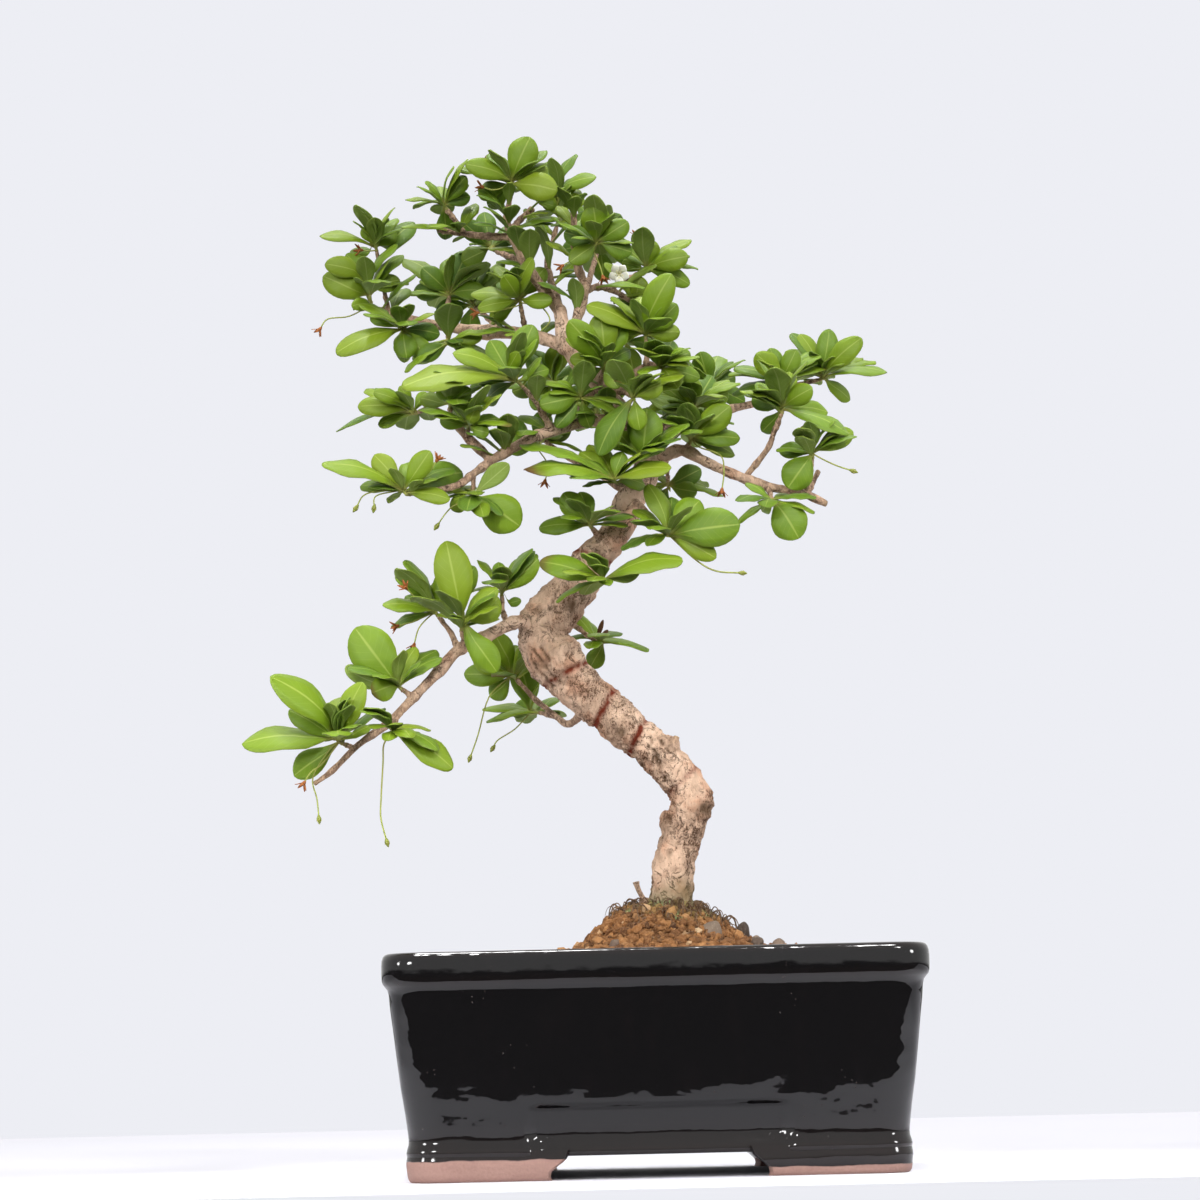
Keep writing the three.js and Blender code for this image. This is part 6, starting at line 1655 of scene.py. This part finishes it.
CORNER = 12
ALCOVE_X, ALCOVE_Y, ALCOVE_TOP, ALCOVE_DEPTH = 48, 24, 31, 4
FOOT_LENGTH, FOOT_SIDE_LENGTH, FOOT_THICKNESS, FOOT_INSET = 62, 45, 13, 8.1
# Levels of a foot: height, how far it is drawn in, how much shorter it is
FOOT_LEVELS = [(0, 1.9, 8.6), (0.5, 1.2, 8.2), (1.4, 0.7, 8), (3, 0.4, 7.4), (5, 0.15, 5), (6.6, 0, 2.6),
    (8.2, 0.1, 1), (10, 0.4, 0.2), (11.4, 0.6, 0)]
DRAIN_PLACES = (-48, 48)
DRAIN_RADIUS = 8


def settled_place(piece):
    """The piece's place applied to its mesh."""
    alone(piece)
    bpy.ops.object.transform_apply(location=True, rotation=True, scale=True)


def pot_shell():
    """A plate with rounded corners extruded up the outer wall, over the lip and down to the inner floor."""
    deselected()
    inset, z = OUTSIDE[0]
    centre = Vector(MIDDLE)
    bpy.ops.mesh.primitive_plane_add(size=1, location=centre + Vector((0, 0, z * MM)))
    piece = bpy.context.active_object
    piece.name = piece.data.name = "pot_body"
    bpy.ops.object.mode_set(mode="EDIT")
    wide, deep = 2 * (RIM_X - inset) * MM, 2 * (RIM_Y - inset) * MM
    bpy.ops.transform.resize(value=(wide, deep, 1), center_override=centre)
    bpy.ops.mesh.bevel(offset=CORNER * MM, segments=10, affect="VERTICES")
    mesh = bmesh.from_edit_mesh(piece.data)
    bpy.ops.mesh.select_all(action="DESELECT")
    for edge in mesh.edges:
        edge.select_set(edge.calc_length() > 0.03)
    bmesh.update_edit_mesh(piece.data)
    bpy.ops.mesh.subdivide(number_cuts=71)
    bpy.ops.mesh.select_all(action="SELECT")
    profile = OUTSIDE + INSIDE
    for (last, low), (following, high) in zip(profile, profile[1:]):
        bpy.ops.mesh.extrude_region_move(TRANSFORM_OT_translate={"value": (0, 0, (high - low) * MM)})
        grow = ((RIM_X - following) / (RIM_X - last), (RIM_Y - following) / (RIM_Y - last), 1)
        bpy.ops.transform.resize(value=grow, center_override=centre)
    bpy.ops.mesh.select_all(action="SELECT")
    bpy.ops.mesh.normals_make_consistent(inside=False)
    bpy.ops.object.mode_set(mode="OBJECT")
    settled_place(piece)
    return piece


def hollow_sides(piece):
    """The low middle of each wall drawn in between the feet, under a ledge."""
    insets, heights = zip(*OUTSIDE[:16])
    for vertex in piece.data.vertices:
        x, y, z = (np.array(vertex.co) - MIDDLE) / MM
        outer = abs(x) > RIM_X - 11 or abs(y) > RIM_Y - 11
        if z > ALCOVE_TOP or not outer or z < 8:
            continue
        inset = np.interp(z, heights, insets)
        depth = ALCOVE_DEPTH * (0.7 * smooth(29.5, 25.5, z) + 0.3 * smooth(26, 19, z) - 0.3 * smooth(16.5, 11, z))
        edge = 1.5 * smooth(20, 9, z)
        if abs(y) > RIM_Y - inset - 1:
            y -= copysign(depth * smooth(ALCOVE_X + 3.5 - edge, ALCOVE_X - 2 - edge, abs(x)), y)
        if abs(x) > RIM_X - inset - 1:
            x -= copysign(depth * smooth(ALCOVE_Y + 3.5 - edge, ALCOVE_Y - 2 - edge, abs(y)), x)
        vertex.co = np.array([x, y, z]) * MM + MIDDLE


def foot(sign_x, sign_y, material):
    """A corner foot: an angled bracket whose ends lean in."""
    shape = Shape()
    rings = []
    for z, inset, shorter in FOOT_LEVELS:
        outer_x, outer_y = RIM_X - FOOT_INSET - inset, RIM_Y - FOOT_INSET - inset
        inner_x, inner_y = outer_x - FOOT_THICKNESS, outer_y - FOOT_THICKNESS
        start_x, start_y = outer_x - FOOT_LENGTH + shorter, outer_y - FOOT_SIDE_LENGTH + shorter
        corner = [(outer_x - CORNER + CORNER * cos(t), outer_y - CORNER + CORNER * sin(t))
            for t in (i / 12 * pi / 2 for i in range(13))]
        outline = [(outer_x - 2, start_y + 0.4), (outer_x - 0.5, start_y + 1.4), *corner,
            (start_x + 1.2, outer_y - 0.6), (start_x + 0.3, outer_y - 2), (start_x, outer_y - 7),
            (start_x + 2, inner_y), (inner_x - 4, inner_y), (inner_x, inner_y - 4), (inner_x, start_y + 2)]
        ring = np.array([(sign_x * x, sign_y * y, z) for x, y in outline])
        rings.append(ring if sign_x * sign_y > 0 else ring[::-1])
    shape.add(np.concatenate(rings), sleeve_faces(len(rings), len(rings[0])))
    return recalculated(shape.build("foot", material))


def paint_glaze(mesh):
    """Where the clay is left bare, as a height above the table for each foot, and where the glaze thins."""
    x, y, z = millimetres(mesh).T
    lip = smooth(83.6, 85.4, z) + smooth(71.8, 73.6, z) * smooth(76.6, 74.6, z) * 0.6
    thin = np.minimum(1.0, lip * 0.8 + 0.7 * smooth(12, 9.5, z) + 0.5 * smooth(26, 9, z))
    paint_points(mesh, "glaze", np.where((x < 0) & (y < 0), 8, 3.4) / 20, thin, 0 * z)


class BONSAI_OT_pot(bpy.types.Operator):
    """Rectangular pot with its lip, hollowed sides, corner feet and drain holes"""

    bl_idname = "bonsai.pot"
    bl_label = "Pot"

    def execute(self, context):
        glaze = glaze_material(context.scene.bonsai_looks)
        pot = pot_shell()
        pot.data.materials.append(glaze)
        hollow_sides(pot)
        for signs in ((-1, -1), (1, -1), (-1, 1), (1, 1)):
            fused(pot, foot(*signs, glaze), "UNION")
        for x in DRAIN_PLACES:
            deselected()
            place = Vector(MIDDLE) + Vector((x, 0, 9)) * MM
            bpy.ops.mesh.primitive_cylinder_add(vertices=48, radius=DRAIN_RADIUS * MM, depth=0.03, location=place)
            fused(pot, context.active_object, "DIFFERENCE")
        paint_glaze(pot.data)
        alone(pot)
        bpy.ops.object.shade_smooth_by_angle(angle=radians(34))
        settle(pot, "pot", "glaze")
        return {"FINISHED"}


class BONSAI_OT_drain_meshes(bpy.types.Operator):
    """Finish of the plastic meshes over the drain holes, which keep the shape of the solids"""

    bl_idname = "bonsai.drain_meshes"
    bl_label = "Drain meshes"

    def execute(self, context):
        plastic = mesh_material()
        for name in frame["nodes"]:
            if name.startswith("drain_mesh"):
                materials = bpy.data.objects[name].data.materials
                materials.clear()
                materials.append(plastic)
        return {"FINISHED"}


# Studio
def area_light(name, place, target, size, power, spread):
    light = bpy.data.lights.new(name, "AREA")
    light.energy = power
    light.size = size
    light.spread = radians(spread)
    lamp = bpy.data.objects.new(name, light)
    bpy.context.scene.collection.objects.link(lamp)
    lamp.location = place
    lamp.rotation_euler = (target - place).to_track_quat("-Z", "Y").to_euler()


def studio_world(looks):
    """Pale surroundings that show behind the tree, light it at a strength of their own, and are dark below."""
    world = bpy.context.scene.world = bpy.data.worlds.new("studio")
    s = Shading(world)
    s.tree.nodes.clear()
    height = s.add("SeparateXYZ", "Z", {0: s.add("TexCoord", "Generated", {})})
    level = s.add("MapRange", 0, {"Value": height, "From Min": -0.04, "From Max": 0.02, "To Min": 0.1,
        "To Max": looks.ambient})
    lit = s.add("Background", 0, {"Color": "ffffff", "Strength": level})
    behind = s.add("Background", 0, {"Color": looks.backdrop})
    both = s.add("MixShader", 0, {0: s.add("LightPath", "Is Camera Ray", {}), 1: lit, 2: behind})
    s.add("OutputWorld", None, {"Surface": both})


def picture_camera(scene):
    """The camera at the picture's viewpoint."""
    lens = bpy.data.cameras.new("picture_camera")
    lens.sensor_width = 36
    lens.sensor_fit = "HORIZONTAL"
    lens.lens = 36 * FOCAL / IMAGE
    lens.clip_start, lens.clip_end = 0.01, 60
    camera = bpy.data.objects.new("picture_camera", lens)
    scene.collection.objects.link(camera)
    right = Vector((1, 0, 0))
    above = Vector((0, -sin(PITCH), cos(PITCH)))
    ahead = Vector((0, cos(PITCH), sin(PITCH)))
    x = right * cos(ROLL) - above * sin(ROLL)
    y = right * sin(ROLL) + above * cos(ROLL)
    turn = Matrix((x, y, -ahead)).transposed()
    camera.matrix_world = Matrix.Translation(Vector(EYE) * MM + Vector(MIDDLE)) @ turn.to_4x4()
    scene.camera = camera


class BONSAI_OT_studio(bpy.types.Operator):
    """Plain pale floor, soft light and the camera at the picture's angle"""

    bl_idname = "bonsai.studio"
    bl_label = "Studio"

    def execute(self, context):
        scene = context.scene
        studio = scene.bonsai_studio
        deselected()
        deep = studio.floor_front + studio.floor_back
        bpy.ops.mesh.primitive_plane_add(size=1, location=(MIDDLE[0], MIDDLE[1] + deep / 2 - studio.floor_front, 0))
        bpy.ops.transform.resize(value=(studio.floor_width, deep, 1))
        floor = context.active_object
        floor.name = "studio_floor"
        settled_place(floor)
        floor.data.materials.append(floor_material(scene.bonsai_looks))
        studio_world(scene.bonsai_looks)
        middle, foot, rim = (Vector(MIDDLE) + Vector(way) for way in ((0, 0, 0.24), (0, -0.13, 0), (0, -0.05, 0.06)))
        for name, way, size, watts, spread in (("key", (0.55, -1.5, 1.1), 0.42, studio.key_power, 15),
                ("fill", (-0.5, -1.7, 0.35), 0.5, studio.fill_power, 14),
                ("top", (-0.12, 0.05, 1.5), 0.32, studio.top_power, 12)):
            area_light(name, middle + Vector(way), middle, size, watts, spread)
        area_light("floor", foot + Vector((0, 1.4, 1.8)), foot + Vector((0, 1.0, 0)), 1.2, studio.floor_power, 75)
        for side in (-1, 1):
            area_light("lamp", rim + Vector((side * 1.1, -0.75, 0.32)), rim, 0.5, studio.lamp_power, 14)
            beside = foot + Vector((side * 0.22, -0.01, 0))
            area_light("pool", beside + Vector((side * 0.1, -0.75, 1.3)), beside, 0.3, studio.pool_power, 12)
        scene.view_settings.view_transform = "Standard"
        picture_camera(scene)
        return {"FINISHED"}


def power(name, description, watts):
    return bpy.props.FloatProperty(name=name, description=description, default=watts, min=0, unit="POWER")


def length(name, description, metres, least):
    return bpy.props.FloatProperty(name=name, description=description, default=metres, min=least, unit="LENGTH")


def shade(name, description, code):
    return bpy.props.FloatVectorProperty(name=name, description=description, default=colour(code), size=3,
        subtype="COLOR", min=0, max=1)


class BonsaiLooks(bpy.types.PropertyGroup):
    """Colours and fineness of the finishes"""

    # The dark leaf colours are partly the leaves' own and partly painted shade inside and behind the crown
    leaf_deep: shade("Leaf, deepest", "Colour of the darkest leaves", "48671b")
    leaf_dark: shade("Leaf, dark", "Colour of the old leaves", "5d7a1b")
    leaf_green: shade("Leaf, green", "Colour of most leaves", "6b8716")
    leaf_bright: shade("Leaf, bright", "Colour of the young leaves", "748c1a")
    leaf_under: shade("Leaf underside", "Colour of the leaves' undersides", "7e9148")
    bark_dark: shade("Bark, dark", "Darker colour of the bark", "a88c76")
    bark: shade("Bark", "Main colour of the bark", "d6b59b")
    wire_mark: shade("Wire mark", "Colour of the marks that wire has left", "8b3a20")
    glaze: shade("Glaze", "Colour of the pot's glaze", "0a090a")
    clay: shade("Bare clay", "Colour of the clay under the feet", "8f6f66")
    soil: shade("Soil", "Colour of the fired clay grains", "80552f")
    petal: shade("Petal", "Colour of the flower", "f4f1e6")
    floor: shade("Floor", "Colour of the studio floor", "e4e3ea")
    backdrop: shade("Backdrop", "Colour behind the tree", "edeef4")
    ambient: bpy.props.FloatProperty(name="Ambient", description="Strength of the light from all round",
        default=1.0, min=0)
    bark_grain: length("Bark grain", "Size of the bark's mesh cells", 0.0007, 0.0003)


class BonsaiStudio(bpy.types.PropertyGroup):
    """Size of the studio and strength of its lights"""

    floor_width: length("Floor width", "Width of the floor", 2.4, 0.5)
    floor_front: length("Floor front", "Reach of the floor before the pot's middle", 0.174, 0.1)
    floor_back: length("Floor back", "Reach of the floor behind the pot's middle", 1.15, 0.2)
    key_power: power("Key", "Power of the soft light from the front right", 0.28)
    fill_power: power("Fill", "Power of the soft light from the front left", 0.32)
    top_power: power("Top", "Power of the light from above", 0.22)
    floor_power: power("Floor", "Power of the light on the floor behind the pot", 1.7)
    lamp_power: power("Lamps", "Power of the small lamps that shine in the rim", 0.22)
    pool_power: power("Pool", "Power of each light on the floor in front of the pot", 0.3)


STEPS = (BONSAI_OT_studio, BONSAI_OT_pot, BONSAI_OT_drain_meshes, BONSAI_OT_wood, BONSAI_OT_soil, BONSAI_OT_shoots,
    BONSAI_OT_flower)


class BONSAI_PT_panel(bpy.types.Panel):
    """Steps that dress the bonsai, with their sizes and colours"""

    bl_idname = "BONSAI_PT_panel"
    bl_label = "Bonsai"
    bl_space_type = "VIEW_3D"
    bl_region_type = "UI"
    bl_category = "Bonsai"

    def draw(self, context):
        for step in STEPS:
            self.layout.operator(step.bl_idname)
        for group in (context.scene.bonsai_looks, context.scene.bonsai_studio):
            for name in type(group).__annotations__:
                self.layout.prop(group, name)


CLASSES = (BonsaiLooks, BonsaiStudio, *STEPS, BONSAI_PT_panel)


def register():
    for kind in CLASSES:
        bpy.utils.register_class(kind)
    bpy.types.Scene.bonsai_looks = bpy.props.PointerProperty(type=BonsaiLooks)
    bpy.types.Scene.bonsai_studio = bpy.props.PointerProperty(type=BonsaiStudio)


def unregister():
    del bpy.types.Scene.bonsai_studio
    del bpy.types.Scene.bonsai_looks
    for kind in reversed(CLASSES):
        bpy.utils.unregister_class(kind)


def main():
    register()
    bpy.ops.bonsai.studio()
    bpy.ops.bonsai.pot()
    bpy.ops.bonsai.drain_meshes()
    bpy.ops.bonsai.wood()
    bpy.ops.bonsai.soil()
    bpy.ops.bonsai.shoots()
    bpy.ops.bonsai.flower()


if __name__ == "__main__":
    main()
